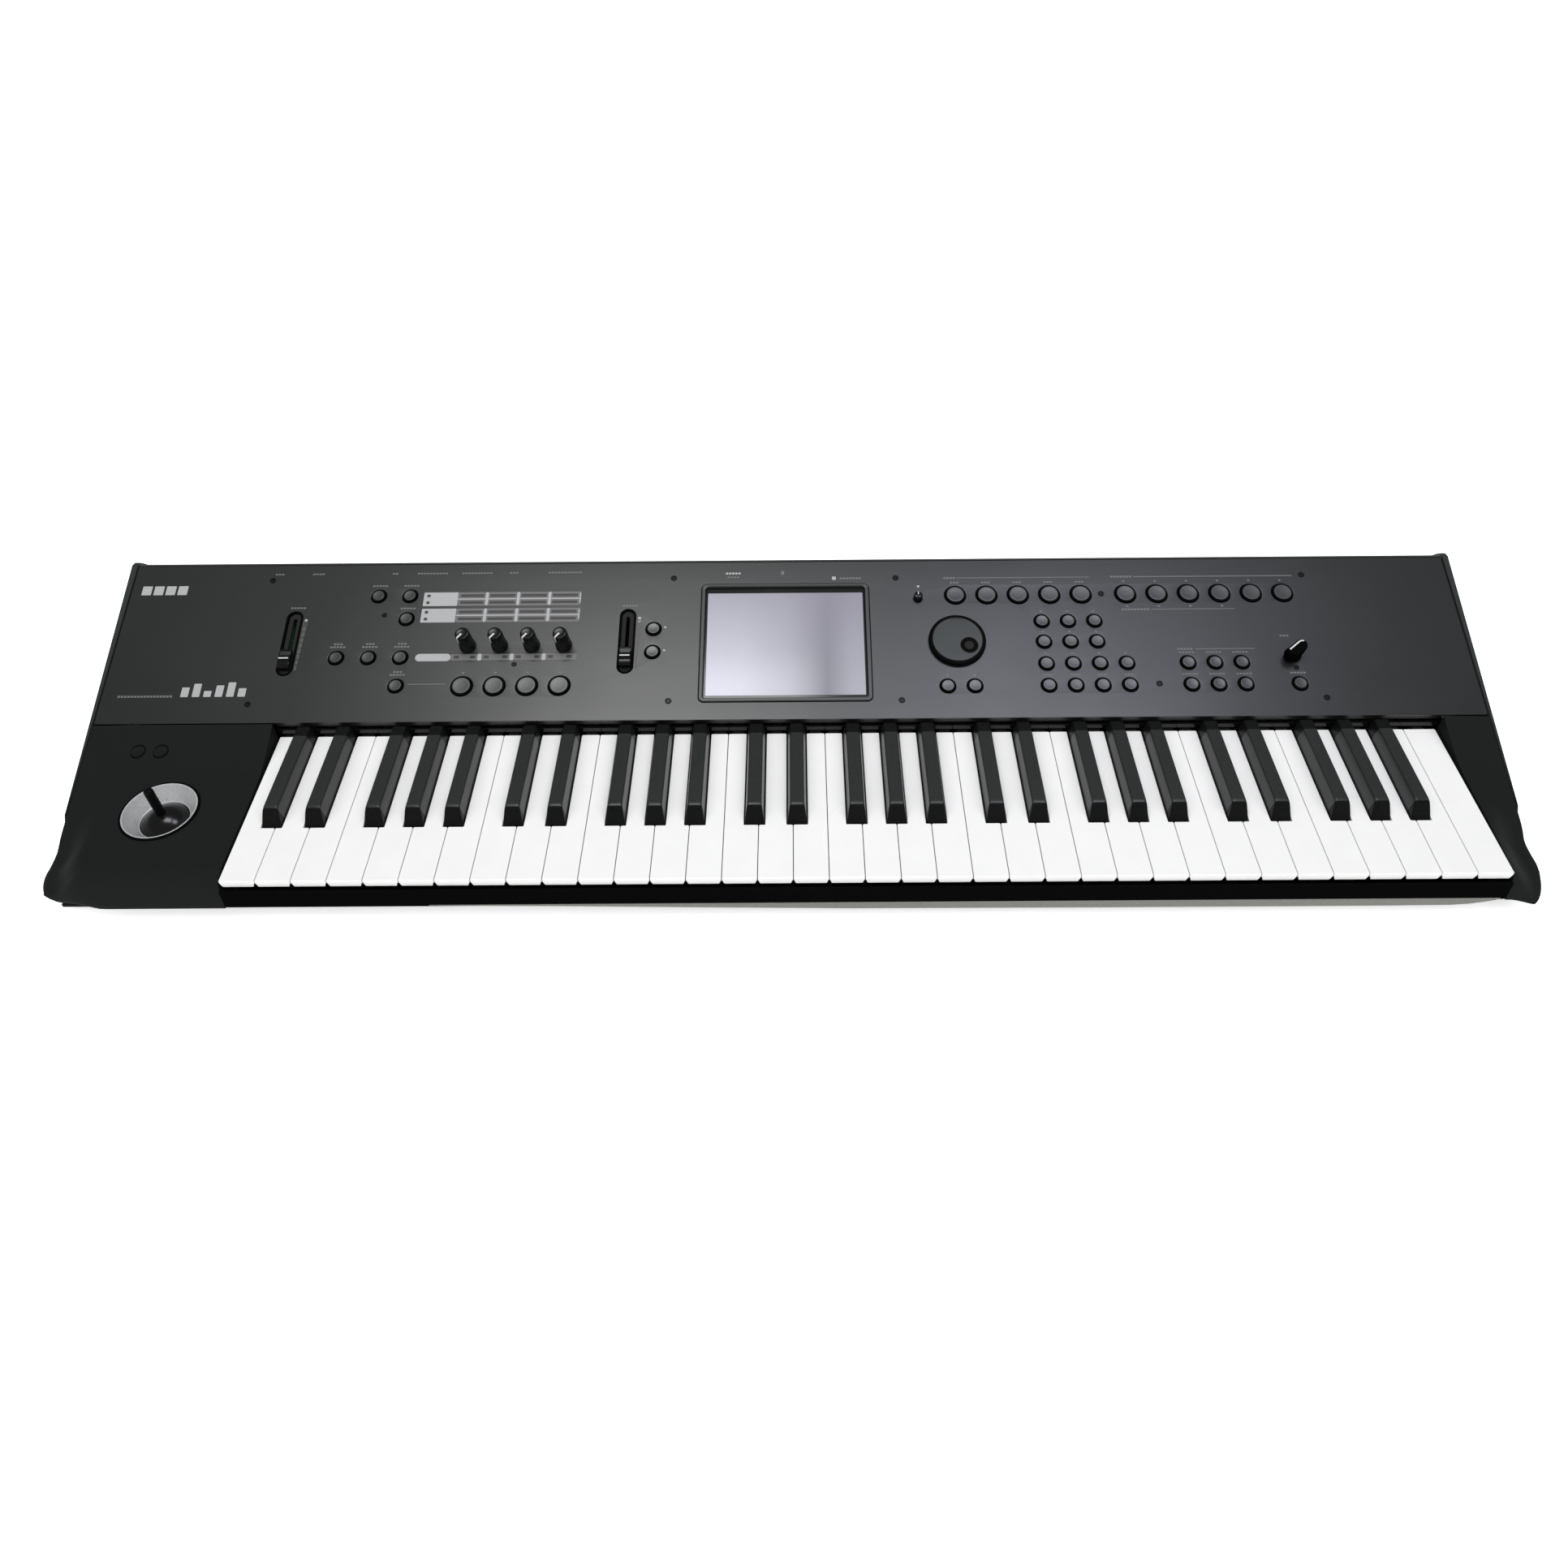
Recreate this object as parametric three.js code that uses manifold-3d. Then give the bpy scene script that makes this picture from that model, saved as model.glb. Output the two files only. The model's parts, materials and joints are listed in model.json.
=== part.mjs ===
// A 61-key synthesizer workstation, millimetres, +Z up.
// Origin: centre of the bounding box, on the surface that the feet stand on. The keys face -Y.
import * as THREE from 'three';
import { mergeVertices } from 'three/addons/utils/BufferGeometryUtils.js';
import Module from 'manifold-3d';

const wasm = await Module();
wasm.setup();

// ---------------------------------------------------------------- driving dimensions
const GAP = 0.3;                       // air left between pieces that touch
const HALF_WIDTH = 513.5;              // widest point, at the noses of the end blocks
const REAR_Y = 157;
const FRONT_Y = -157;
const CASE_BOTTOM_Z = 6;

const KEY_TOP_Z = 44.5;
const KEY_FRONT_Y = -153.5;
const KEY_PITCH = 23.5;
const KEY_GAP = 1;
const KEYS_LEFT_X = -374;
const OCTAVES = 5;
const OCTAVE_WIDTH = 7 * KEY_PITCH;
const KEYS_RIGHT_X = KEYS_LEFT_X + OCTAVES * OCTAVE_WIDTH + KEY_PITCH;
const WHITE_THICKNESS = 6;
const BLACK_HEIGHT = 11.5;             // above the white keys
const BLACK_WIDTH = 13.5;
const BLACK_FRONT_Y = KEY_FRONT_Y + 46.5;
const FASCIA_Y = -20;

const PANEL_FRONT_Z = 57.5;
const PANEL_TILT = THREE.MathUtils.degToRad(19);
const PANEL_LENGTH = 137;
const PANEL_HALF_WIDTH = 506;
const PANEL_THICKNESS = 2;
const SHEET = 2.5;                     // wall of the moulded and pressed shells

const SHOULDER_Y = 150;                // the upright jack face behind the sloping shoulder
const SHOULDER_Z = 64;
const JACK_Z = 40;

const SMALL_BUTTON_R = 5.6;
const LARGE_BUTTON_R = 7.9;
const BUTTON_CLEARANCE = 0.5;
const FLANGE = 1.4;                    // how far a single button's hidden flange reaches past its top
const BUTTON_HEIGHT = 2;
const CARRIER_TOP = -4.5;              // top of the strips that join buttons, below the panel
const CARRIER_BOTTOM = -6;
const ROUND_SIDES = 10;

// ---------------------------------------------------------------- layout of the sloping panel
// x along the instrument, s up the slope from the panel's front edge.
const ROW_TOP = 105.4;
const ROW_FOUR = 81.7;
const ROW_THREE = 63.8;
const ROW_TWO = 45.1;
const ROW_ONE = 26.8;
const WIDE_PITCH = 24;
const NARROW_PITCH = 19.9;

const repeat = (count, make) => Array.from({ length: count }, (_, index) => make(index));
const modeButtons = repeat(5, (i) => [126.9 + i * WIDE_PITCH, ROW_TOP]);
const bankButtons = repeat(6, (i) => [257 + i * WIDE_PITCH, ROW_TOP]);
const numberRows = [[ROW_FOUR, 3], [ROW_THREE, 3], [ROW_TWO, 4], [ROW_ONE, 4]];
const numberButtons = numberRows.flatMap(([s, count]) => repeat(count, (i) => [190.8 + i * NARROW_PITCH, s]));
const sequencerButtons = [ROW_TWO, ROW_ONE].flatMap((s) => repeat(3, (i) => [295.8 + i * NARROW_PITCH, s]));
const dialButtons = [[116.4, ROW_ONE], [136.4, ROW_ONE]];
const LEFT_COLUMN_X = -290.8;
const functionButtons = [
  [LEFT_COLUMN_X - WIDE_PITCH, 108], [LEFT_COLUMN_X, 108], [LEFT_COLUMN_X, 87.6],
  ...repeat(3, (i) => [LEFT_COLUMN_X - i * WIDE_PITCH, 54]), [LEFT_COLUMN_X, 30],
];
const padPlaces = repeat(4, (i) => [-242 + i * WIDE_PITCH, 29.4]);
const knobPlaces = repeat(4, (i) => [-241.1 + i * WIDE_PITCH, 63.6]);
const incrementPlace = [-102.6, 77.3];
const decrementPlace = [-102.6, 57.3];
const tapPlace = [375.3, ROW_ONE];
const tempoPlace = [374, 50.5];
const contrastPlace = [98.3, 102.8];
const dialPlace = [125.6, 64.4];
const DIAL_R = 21.5;
const KNOB_R = 6.2;
const KNOB_HEIGHT = 19;
const KNOB_SHAFT_R = 3;
const sliders = { volume: [-375.6, 51.4], value: [-122.4, 51.8] };   // caps at rest
const SLOT_LOW = 39.6;
const SLOT_HIGH = 94.4;
const SLOT_R = 5.6;
const SLOT_MIDDLE = (SLOT_LOW + SLOT_HIGH) / 2;
const display = { x: -3.1, s: 65.9, width: 128, height: 102, rim: 3.1, corner: 4 };

// ---------------------------------------------------------------- the joystick, in the left end block
const STICK_X = -435;
const STICK_Y = -92.4;
const DISH_R = 25.1;
const DISH_DEPTH = 9.5;
const BALL_R = 20;
const BALL_Z = KEY_TOP_Z - 21.6;       // the ball's centre, which the stick turns about
const STICK_R = 3.4;
const STICK_TOP_Z = KEY_TOP_Z + 22;
const assignSwitches = [[-468, -41], [-451.6, -41]];
const ASSIGN_R = 5;

// ---------------------------------------------------------------- solids
function toManifold(geometry) {
  const bare = new THREE.BufferGeometry();
  bare.setAttribute('position', geometry.getAttribute('position').clone());
  if (geometry.index) bare.setIndex(geometry.index.clone());
  const merged = mergeVertices(bare, 1e-4);
  const triVerts = Uint32Array.from(merged.index.array);
  const vertProperties = Float32Array.from(merged.getAttribute('position').array);
  return new wasm.Manifold(new wasm.Mesh({ numProp: 3, vertProperties, triVerts }));
}

function toGeometry(solid) {
  const mesh = solid.getMesh();
  const geometry = new THREE.BufferGeometry();
  geometry.setAttribute('position', new THREE.BufferAttribute(Float32Array.from(mesh.vertProperties), 3));
  geometry.setIndex(new THREE.BufferAttribute(Uint32Array.from(mesh.triVerts), 1));
  return geometry;
}

function block(x0, x1, y0, y1, z0, z1) {
  const geometry = new THREE.BoxGeometry(x1 - x0, y1 - y0, z1 - z0);
  geometry.translate((x0 + x1) / 2, (y0 + y1) / 2, (z0 + z1) / 2);
  return toManifold(geometry);
}

// An outline given in X and Y, raised from z0 to z1.
function upright(shape, z0, z1, curveSegments = 3) {
  const geometry = new THREE.ExtrudeGeometry(shape, { depth: z1 - z0, bevelEnabled: false, curveSegments });
  geometry.translate(0, 0, z0);
  return toManifold(geometry);
}

// An outline given in Y and Z, run along X from x0 to x1.
function profile(points, x0, x1) {
  const shape = new THREE.Shape(points.map(([y, z]) => new THREE.Vector2(y, z)));
  const geometry = new THREE.ExtrudeGeometry(shape, { depth: x1 - x0, bevelEnabled: false });
  const axes = new THREE.Matrix4().makeBasis(
    new THREE.Vector3(0, 1, 0), new THREE.Vector3(0, 0, 1), new THREE.Vector3(1, 0, 0));
  geometry.applyMatrix4(axes);
  geometry.translate(x0, 0, 0);
  return toManifold(geometry);
}

// A round post standing along Z, with its top and bottom radii.
function post(x, y, z0, z1, radius, topRadius = radius, sides = ROUND_SIDES) {
  const geometry = new THREE.CylinderGeometry(topRadius, radius, z1 - z0, sides);
  geometry.rotateX(Math.PI / 2);
  geometry.translate(x, y, (z0 + z1) / 2);
  return toManifold(geometry);
}

// A round bar along X or Y through a point, from one end to the other.
function bar(axis, centre, from, to, radius, sides = ROUND_SIDES) {
  const geometry = new THREE.CylinderGeometry(radius, radius, to - from, sides);
  geometry.rotateY(Math.PI / sides);
  if (axis === 'x') geometry.rotateZ(-Math.PI / 2);
  const middle = (from + to) / 2;
  const [x, y, z] = centre;
  geometry.translate(axis === 'x' ? middle : x, axis === 'y' ? middle : y, z);
  return toManifold(geometry);
}

// A profile of radius and height, turned about the upright axis at x, y.
function turned(x, y, points, sides = 24) {
  const geometry = new THREE.LatheGeometry(points.map(([r, z]) => new THREE.Vector2(r, z)), sides);
  geometry.rotateX(Math.PI / 2);
  geometry.translate(x, y, 0);
  return toManifold(geometry);
}

function roundedRectangle(x, y, width, height, radius) {
  const shape = new THREE.Shape();
  const [left, right, low, high] = [x - width / 2, x + width / 2, y - height / 2, y + height / 2];
  shape.moveTo(left + radius, low);
  shape.lineTo(right - radius, low);
  shape.absarc(right - radius, low + radius, radius, -Math.PI / 2, 0);
  shape.lineTo(right, high - radius);
  shape.absarc(right - radius, high - radius, radius, 0, Math.PI / 2);
  shape.lineTo(left + radius, high);
  shape.absarc(left + radius, high - radius, radius, Math.PI / 2, Math.PI);
  shape.lineTo(left, low + radius);
  shape.absarc(left + radius, low + radius, radius, Math.PI, 1.5 * Math.PI);
  return shape;
}

function join(solids) {
  return solids.reduce((whole, solid) => whole.add(solid));
}

function cut(solid, tools) {
  return tools.reduce((whole, tool) => whole.subtract(tool), solid);
}

// ---------------------------------------------------------------- materials and the scene graph
function look(color, roughness, metalness = 0) {
  return new THREE.MeshStandardMaterial({ color, roughness, metalness });
}
const materials = {
  panel: look(0x3f4244, 0.5, 0.4),
  shell: look(0x1d1f20, 0.55),
  gloss: look(0x0b0c0d, 0.15),
  white: look(0xf3f1ec, 0.25),
  black: look(0x0e0f10, 0.3),
  button: look(0x3c3e40, 0.5),
  silver: look(0xb4b6ba, 0.35, 0.6),
  glass: look(0xb9b9c6, 0.1),
  board: look(0x1f5a36, 0.6),
  steel: look(0x9a9ea3, 0.4, 0.9),
  rubber: look(0x121212, 0.9),
};

const synthesizer = new THREE.Group();
const panel = new THREE.Group();       // the sloping panel's own frame: x, s up the slope, height above it
panel.position.set(0, FASCIA_Y, PANEL_FRONT_Z);
panel.rotation.x = PANEL_TILT;
synthesizer.add(panel);

function addPart(name, solid, material, parent = synthesizer) {
  const mesh = new THREE.Mesh(toGeometry(solid), materials[material]);
  mesh.name = name;
  parent.add(mesh);
}

// ---------------------------------------------------------------- keys
const BLACK_OFFSETS = [20.7, 49.8, 90.4, 117.5, 144.6];   // centres, from the octave's left edge
const WHITE_ARM = 8;
const BLACK_ARM = 7;
const ARM_REAR_Y = 36;
const WHITE_RAIL = { y0: 30, y1: 52, z0: 29, z1: 34.5 };
const BLACK_RAIL = { y0: 38, y1: 52, z0: 37.5, z1: 43.5 };

const NOTCH_HALF = BLACK_WIDTH / 2 + 0.9;
const KEY_REACH = 120;                 // longer than any sharp
const FLANK_LEAN = 2.1;                // how far a sharp's sides lean in towards the top

// The naturals of one octave: seven plates on spring arms from one moulded rear rail.
// sharps holds the centres of the sharps that stand in notches between them.
function naturalComb(left, count, sharps) {
  const low = KEY_TOP_Z - WHITE_THICKNESS;
  const plates = repeat(count, (i) => {
    const x0 = left + i * KEY_PITCH + KEY_GAP / 2;
    return block(x0, x0 + KEY_PITCH - KEY_GAP, KEY_FRONT_Y, FASCIA_Y - 1, low, KEY_TOP_Z);
  });
  const notches = sharps.map((x) =>
    block(x - NOTCH_HALF, x + NOTCH_HALF, BLACK_FRONT_Y - 1, FASCIA_Y, low - 1, KEY_TOP_Z + 1));
  const arms = repeat(count, (i) => {
    const x0 = left + i * KEY_PITCH;
    const x1 = x0 + KEY_PITCH;
    const freeLeft = Math.max(x0, ...sharps.map((x) => x + NOTCH_HALF).filter((x) => x < x1));
    const freeRight = Math.min(x1, ...sharps.map((x) => x - NOTCH_HALF).filter((x) => x > x0));
    const centre = (freeLeft + freeRight) / 2;
    const [armLeft, armRight] = [centre - WHITE_ARM / 2, centre + WHITE_ARM / 2];
    const arm = block(armLeft, armRight, FASCIA_Y - 8, ARM_REAR_Y, low, KEY_TOP_Z - 1);
    return arm.add(block(armLeft, armRight, WHITE_RAIL.y0, ARM_REAR_Y, WHITE_RAIL.z0, KEY_TOP_Z - 1));
  });
  const rail = block(left + 1, left + count * KEY_PITCH - 1,
    WHITE_RAIL.y0, WHITE_RAIL.y1, WHITE_RAIL.z0, WHITE_RAIL.z1);
  return join([cut(join(plates), notches), ...arms, rail]);
}

// One sharp: a tapered cap with a sloping front, and the arm behind it.
function sharp(centre) {
  const top = KEY_TOP_Z + BLACK_HEIGHT;
  const low = KEY_TOP_Z - WHITE_THICKNESS;
  const rear = FASCIA_Y - 1.2;
  const cap = profile([
    [BLACK_FRONT_Y, low], [rear, low], [rear, top - 0.6], [BLACK_FRONT_Y + 9, top],
    [BLACK_FRONT_Y + 6.8, top - 0.8], [BLACK_FRONT_Y + 0.8, KEY_TOP_Z],
  ], centre - BLACK_WIDTH / 2, centre + BLACK_WIDTH / 2);
  const flank = (side) => {
    const shape = new THREE.Shape([
      new THREE.Vector2(centre + side * (BLACK_WIDTH / 2 + 1), KEY_TOP_Z),
      new THREE.Vector2(centre + side * (BLACK_WIDTH / 2 + 1), top + 1),
      new THREE.Vector2(centre + side * (BLACK_WIDTH / 2 - FLANK_LEAN), top + 1),
      new THREE.Vector2(centre + side * (BLACK_WIDTH / 2), KEY_TOP_Z),
    ]);
    const geometry = new THREE.ExtrudeGeometry(shape, { depth: KEY_REACH, bevelEnabled: false });
    geometry.rotateX(Math.PI / 2);
    return toManifold(geometry);
  };
  const arm = block(centre - BLACK_ARM / 2, centre + BLACK_ARM / 2, FASCIA_Y - 20, BLACK_RAIL.y1,
    BLACK_RAIL.z0, KEY_TOP_Z - 1);
  return cut(cap, [flank(-1), flank(1)]).add(arm);
}

function sharpComb(left) {
  const inset = 14;
  const rail = block(left + inset, left + OCTAVE_WIDTH - inset,
    BLACK_RAIL.y0, BLACK_RAIL.y1, BLACK_RAIL.z0, BLACK_RAIL.z1);
  return join(BLACK_OFFSETS.map((x) => sharp(left + x))).add(rail);
}

repeat(OCTAVES, (octave) => {
  const left = KEYS_LEFT_X + octave * OCTAVE_WIDTH;
  const notches = BLACK_OFFSETS.map((x) => left + x);
  addPart(`white_keys_octave_${octave + 1}`, naturalComb(left, 7, notches), 'white');
  addPart(`black_keys_octave_${octave + 1}`, sharpComb(left), 'black');
});
addPart('white_key_high_c', naturalComb(KEYS_LEFT_X + OCTAVES * OCTAVE_WIDTH, 1, []), 'white');

// ---------------------------------------------------------------- keybed, under the keys
const BED_LEFT = KEYS_LEFT_X + 2;
const BED_RIGHT = KEYS_RIGHT_X - 2;
const bedParts = [                     // low and high Y, low and high Z
  [-137, 60, 12, 14],                  // floor
  [-137, -135, 14, 24],                // front upstand
  [58, 60, 14, 46],                    // rear upstand
  [34, 58, 24, 26.5],                  // shelf that the hinge rails sit over
  [-74, -72, 14, 18.5],                // ribs that carry the contact board
  [-28, -26, 14, 18.5],
];
addPart('keybed_frame', join(bedParts.map((b) => block(BED_LEFT, BED_RIGHT, ...b))), 'steel');
const BOARD_THICKNESS = 1.6;
const CONTACT_BOARD_Z = 18.8;
addPart('key_contact_board',
  block(BED_LEFT + 3, BED_RIGHT - 3, -78, -22, CONTACT_BOARD_Z, CONTACT_BOARD_Z + BOARD_THICKNESS), 'board');

addPart('front_rail', profile([
  [FRONT_Y + 0.4, 37], [FRONT_Y, 36], [FRONT_Y, 21], [FRONT_Y + 3, 17], [FRONT_Y + 7, 15], [FRONT_Y + 12, 15],
  [FRONT_Y + 12, 17.5], [FRONT_Y + 8, 17.5], [FRONT_Y + 4.5, 20], [FRONT_Y + 2.4, 22], [FRONT_Y + 2.4, 37],
], KEYS_LEFT_X - 1, KEYS_RIGHT_X + 1), 'black');
addPart('fascia_strip', block(KEYS_LEFT_X - 1, KEYS_RIGHT_X + 1, FASCIA_Y + 0.6, FASCIA_Y + 2.6,
  KEY_TOP_Z + 1, PANEL_FRONT_Z - 7.5), 'gloss');

// ---------------------------------------------------------------- end blocks and cheeks
const smoothstep = (low, high, value) => THREE.MathUtils.smoothstep(value, low, high);
const NOTCH_Y = -97;                   // where the cheek ends and the nose swells out
const NOSE_Y = -125;
const FLANK_SWELL = 6.9;               // how far the nose stands out past the cheek
const NOSE_ROUND = 32;                 // depth of the rounded outer corner
const ROLL_WIDTH = 34;                 // how far in the outer edge starts to roll down
const FRONT_ROLL = 17;                 // depth over which the top rolls down to the front
const BLOCK_GAP = 1.6;                 // air between the end keys and the end blocks
const panelLineZ = (y) => PANEL_FRONT_Z + (y - FASCIA_Y) * Math.tan(PANEL_TILT);

// Half the instrument's width at the end block's widest, at depth y.
function outerX(y) {
  if (y >= NOSE_Y) return HALF_WIDTH - FLANK_SWELL * smoothstep(NOSE_Y, NOTCH_Y, y);
  const t = Math.min(1, (NOSE_Y - y) / NOSE_ROUND);
  return HALF_WIDTH - ROLL_WIDTH * (1 - Math.sqrt(1 - t * t));
}

// Height of the end block's top: level beside the keys, rising to the panel, falling at the outer edge.
function blockTopZ(fromOuter, y) {
  const rise = (y - FASCIA_Y) * Math.tan(PANEL_TILT) + PANEL_FRONT_Z - KEY_TOP_Z;
  const level = KEY_TOP_Z + (rise + Math.hypot(rise, 4)) / 2 - 0.3;
  const edge = Math.max(panelLineZ(y) - 0.5, 22);
  const rolled = level - Math.max(0, level - edge) * (1 - smoothstep(0, ROLL_WIDTH, fromOuter));
  const t = Math.max(0, (FRONT_Y + FRONT_ROLL - y) / FRONT_ROLL);
  return rolled - 11 * (1 - Math.sqrt(Math.max(0, 1 - t * t)));
}

// A closed shell whose top follows blockTopZ, from innerX out to the flank, mirrored by side.
function endBlockSolid(innerX, side, wall) {
  const geometry = new THREE.BoxGeometry(1, 1, 1, wall > 0 ? 4 : 7, wall > 0 ? 8 : 12, 3);
  const place = geometry.getAttribute('position');
  const levels = [7, 0, 0.6, 5];       // how far each level of the flank stands in from the widest
  const fronts = [12, 0, 0, 5];        // and each level of the front from the foremost
  const heights = [0, 0.42, 0.72, 1];  // each level's share of the height
  for (let i = 0; i < place.count; i += 1) {
    const a = side > 0 ? place.getX(i) + 0.5 : 0.5 - place.getX(i);
    const b = place.getY(i) + 0.5;
    const level = Math.round((place.getZ(i) + 0.5) * 3);
    const corner = Math.max(0, (a - 0.6) / 0.4);
    const front = FRONT_Y + wall + fronts[level] + 11 * corner * corner;
    const y = front + (FASCIA_Y - 0.7 - front) * b;
    const nose = 1 - smoothstep(NOSE_Y, NOTCH_Y, y);
    const outer = outerX(Math.max(y, FRONT_Y + 11)) - wall - levels[level] * nose;
    const x = innerX + wall + (outer - innerX - wall) * a;
    const top = blockTopZ(outer + wall - x, y) - wall;
    const bottom = wall > 0 ? CASE_BOTTOM_Z - 5 : CASE_BOTTOM_Z + 3;
    place.setXYZ(i, side * x, y, bottom + (top - bottom) * heights[level]);
  }
  return toManifold(geometry);
}

function endBlock(innerX, side) {
  return endBlockSolid(innerX, side, 0).subtract(endBlockSolid(innerX, side, SHEET));
}

const leftHoles = [
  post(STICK_X, STICK_Y, 20, 60, DISH_R + 0.6, DISH_R + 0.6, 20),
  ...assignSwitches.map(([x, y]) => post(x, y, 20, 70, ASSIGN_R + BUTTON_CLEARANCE)),
];
addPart('left_end_block', cut(endBlock(-KEYS_LEFT_X + BLOCK_GAP, -1), leftHoles), 'shell');
addPart('right_end_block', endBlock(KEYS_RIGHT_X + BLOCK_GAP, 1), 'shell');

// The thin side plates, which stand a little above the panel at the rear.
const CHEEK_THICKNESS = 4.8;
function cheek(side) {
  const outline = [
    [NOTCH_Y + 4.5, panelLineZ(NOTCH_Y) - 2], [NOTCH_Y + 10, panelLineZ(NOTCH_Y + 10) + 0.3],
    [104, panelLineZ(104) + 0.5], [110, 103], [114, 102.5], [118, 99], [SHOULDER_Y + 0.5, SHOULDER_Z + 1],
    [SHOULDER_Y + 1.5, SHOULDER_Z - 4], [SHOULDER_Y + 1.5, 10], [SHOULDER_Y - 3, CASE_BOTTOM_Z + 1],
    [NOTCH_Y + 9, CASE_BOTTOM_Z + 1], [NOTCH_Y + 4.5, 12],
  ];
  const inner = PANEL_HALF_WIDTH + 1;
  const outer = inner + CHEEK_THICKNESS;
  const plate = side > 0 ? profile(outline, inner, outer) : profile(outline, -outer, -inner);
  const taper = new THREE.Shape([
    new THREE.Vector2(side * (outer - 2.6), NOTCH_Y - 5), new THREE.Vector2(side * (outer + 0.01), -45),
    new THREE.Vector2(side * (outer + 4), -45), new THREE.Vector2(side * (outer + 4), NOTCH_Y - 5),
  ]);
  return plate.subtract(upright(taper, -5, 110));
}
addPart('left_cheek', cheek(-1), 'shell');
addPart('right_cheek', cheek(1), 'shell');

// ---------------------------------------------------------------- the case
const TRAY_FRONT_Y = FRONT_Y + 12.5;
const TRAY_LIP_Y = FRONT_Y + 15.5;
const TRAY_HALF_WIDTH = 496;
const floorTop = CASE_BOTTOM_Z + SHEET;
const tray = profile([
  [TRAY_FRONT_Y, CASE_BOTTOM_Z], [REAR_Y, CASE_BOTTOM_Z], [REAR_Y, 13], [REAR_Y - SHEET, 13.6],
  [REAR_Y - SHEET, floorTop], [TRAY_FRONT_Y, floorTop],
], -TRAY_HALF_WIDTH, TRAY_HALF_WIDTH);
const trayLip = block(KEYS_LEFT_X + 1, KEYS_RIGHT_X - 1, TRAY_LIP_Y, TRAY_LIP_Y + 2, floorTop - 1, 14.5);
addPart('bottom_case', tray.add(trayLip), 'shell');

// Rear connectors, seen from above: place along X, hole radius, and the depth of the socket.
const jacks = {
  dc_inlet: [-364.5, 4.4], usb_port: [-305, 5.6], midi_out: [-276.4, 7.6], midi_in: [-241.6, 7.6],
  damper: [-208, 3.7], foot_switch: [-186, 3.7], pedal: [-164, 3.7],
  output_left: [-43.2, 3.7], output_right: [-5.3, 3.7], phones: [44.2, 3.7],
};
const SOCKET_REAR_Y = SHOULDER_Y - SHEET - GAP;
const SOCKET_DEPTH = 20;
const SWITCH_X = -394.6;
const SWITCH_HALF = [5.4, 8];          // half width and half height of the power rocker's hole

const holeSpan = [SHOULDER_Y - 8, SHOULDER_Y + 5];
const jackHoles = Object.values(jacks).map(([x, r]) => bar('y', [x, 0, JACK_Z], ...holeSpan, r));
const switchHole = block(SWITCH_X - SWITCH_HALF[0], SWITCH_X + SWITCH_HALF[0], ...holeSpan,
  JACK_Z - SWITCH_HALF[1], JACK_Z + SWITCH_HALF[1]);
const rearShell = profile([
  [110.2, 102.3], [112, 102], [SHOULDER_Y - 2, SHOULDER_Z + 1.6], [SHOULDER_Y, SHOULDER_Z - 2],
  [SHOULDER_Y, 14], [SHOULDER_Y - SHEET, 14], [SHOULDER_Y - SHEET, SHOULDER_Z - 3],
  [SHOULDER_Y - 4, SHOULDER_Z - 0.8], [111.4, 99.3],
], -PANEL_HALF_WIDTH, PANEL_HALF_WIDTH);
addPart('rear_cover', cut(rearShell, [...jackHoles, switchHole]), 'shell');

const SOCKET_WALL = 2.2;
const socketFrontY = SOCKET_REAR_Y - SOCKET_DEPTH;
const sockets = Object.values(jacks).map(([x, r]) => {
  const half = r + SOCKET_WALL;
  return block(x - half, x + half, socketFrontY, SOCKET_REAR_Y, JACK_Z - half, JACK_Z + half);
});
const bores = Object.values(jacks).map(([x, r]) =>
  bar('y', [x, 0, JACK_Z], socketFrontY + 3, SOCKET_REAR_Y + 2, r));
const jackPlate = block(-384, 60, socketFrontY - BOARD_THICKNESS, socketFrontY + 0.2,
  JACK_Z - 16, JACK_Z + 14);
addPart('jack_board', cut(join([jackPlate, ...sockets]), bores), 'board');
const chips = [[-120, -94, 80, 106], [-40, -20, 84, 104], [40, 92, 78, 88]];   // low and high X and Y
const MAIN_BOARD_Z = 16;
addPart('main_board', join([
  block(-180, 150, 66, 118, MAIN_BOARD_Z, MAIN_BOARD_Z + BOARD_THICKNESS),
  ...chips.map((chip) => block(...chip, MAIN_BOARD_Z + 1, MAIN_BOARD_Z + 5)),
]), 'board');

// ---------------------------------------------------------------- power rocker
const ROCKER_Y = SHOULDER_Y - 6;
const rockerHalf = SWITCH_HALF[0] - 0.6;
const rockerOutline = [
  [ROCKER_Y + 7, JACK_Z + 6.4], [ROCKER_Y + 4.6, JACK_Z - 1], [ROCKER_Y + 5.4, JACK_Z - 6.4],
  [ROCKER_Y - 1, JACK_Z - 6], [ROCKER_Y - 3, JACK_Z], [ROCKER_Y - 1, JACK_Z + 6],
];
addPart('power_switch', profile(rockerOutline, SWITCH_X - rockerHalf, SWITCH_X + rockerHalf), 'black');

// ---------------------------------------------------------------- the sloping panel and its controls
const smallPlaces = [
  ...functionButtons, ...numberButtons, ...sequencerButtons, ...dialButtons,
  incrementPlace, decrementPlace, tapPlace,
];
const roundHoles = [
  [smallPlaces, SMALL_BUTTON_R + BUTTON_CLEARANCE],
  [[...padPlaces, ...modeButtons, ...bankButtons], LARGE_BUTTON_R + BUTTON_CLEARANCE],
  [[...knobPlaces, tempoPlace, contrastPlace], KNOB_SHAFT_R + 0.5],
  [[dialPlace], 5],
].flatMap(([places, r]) => places.map(([x, s]) => post(x, s, -9, 3, r)));
const slots = Object.values(sliders).map(([x]) =>
  upright(roundedRectangle(x, SLOT_MIDDLE, 2 * SLOT_R, SLOT_HIGH - SLOT_LOW, SLOT_R - 0.1), -9, 3, 4));
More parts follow.
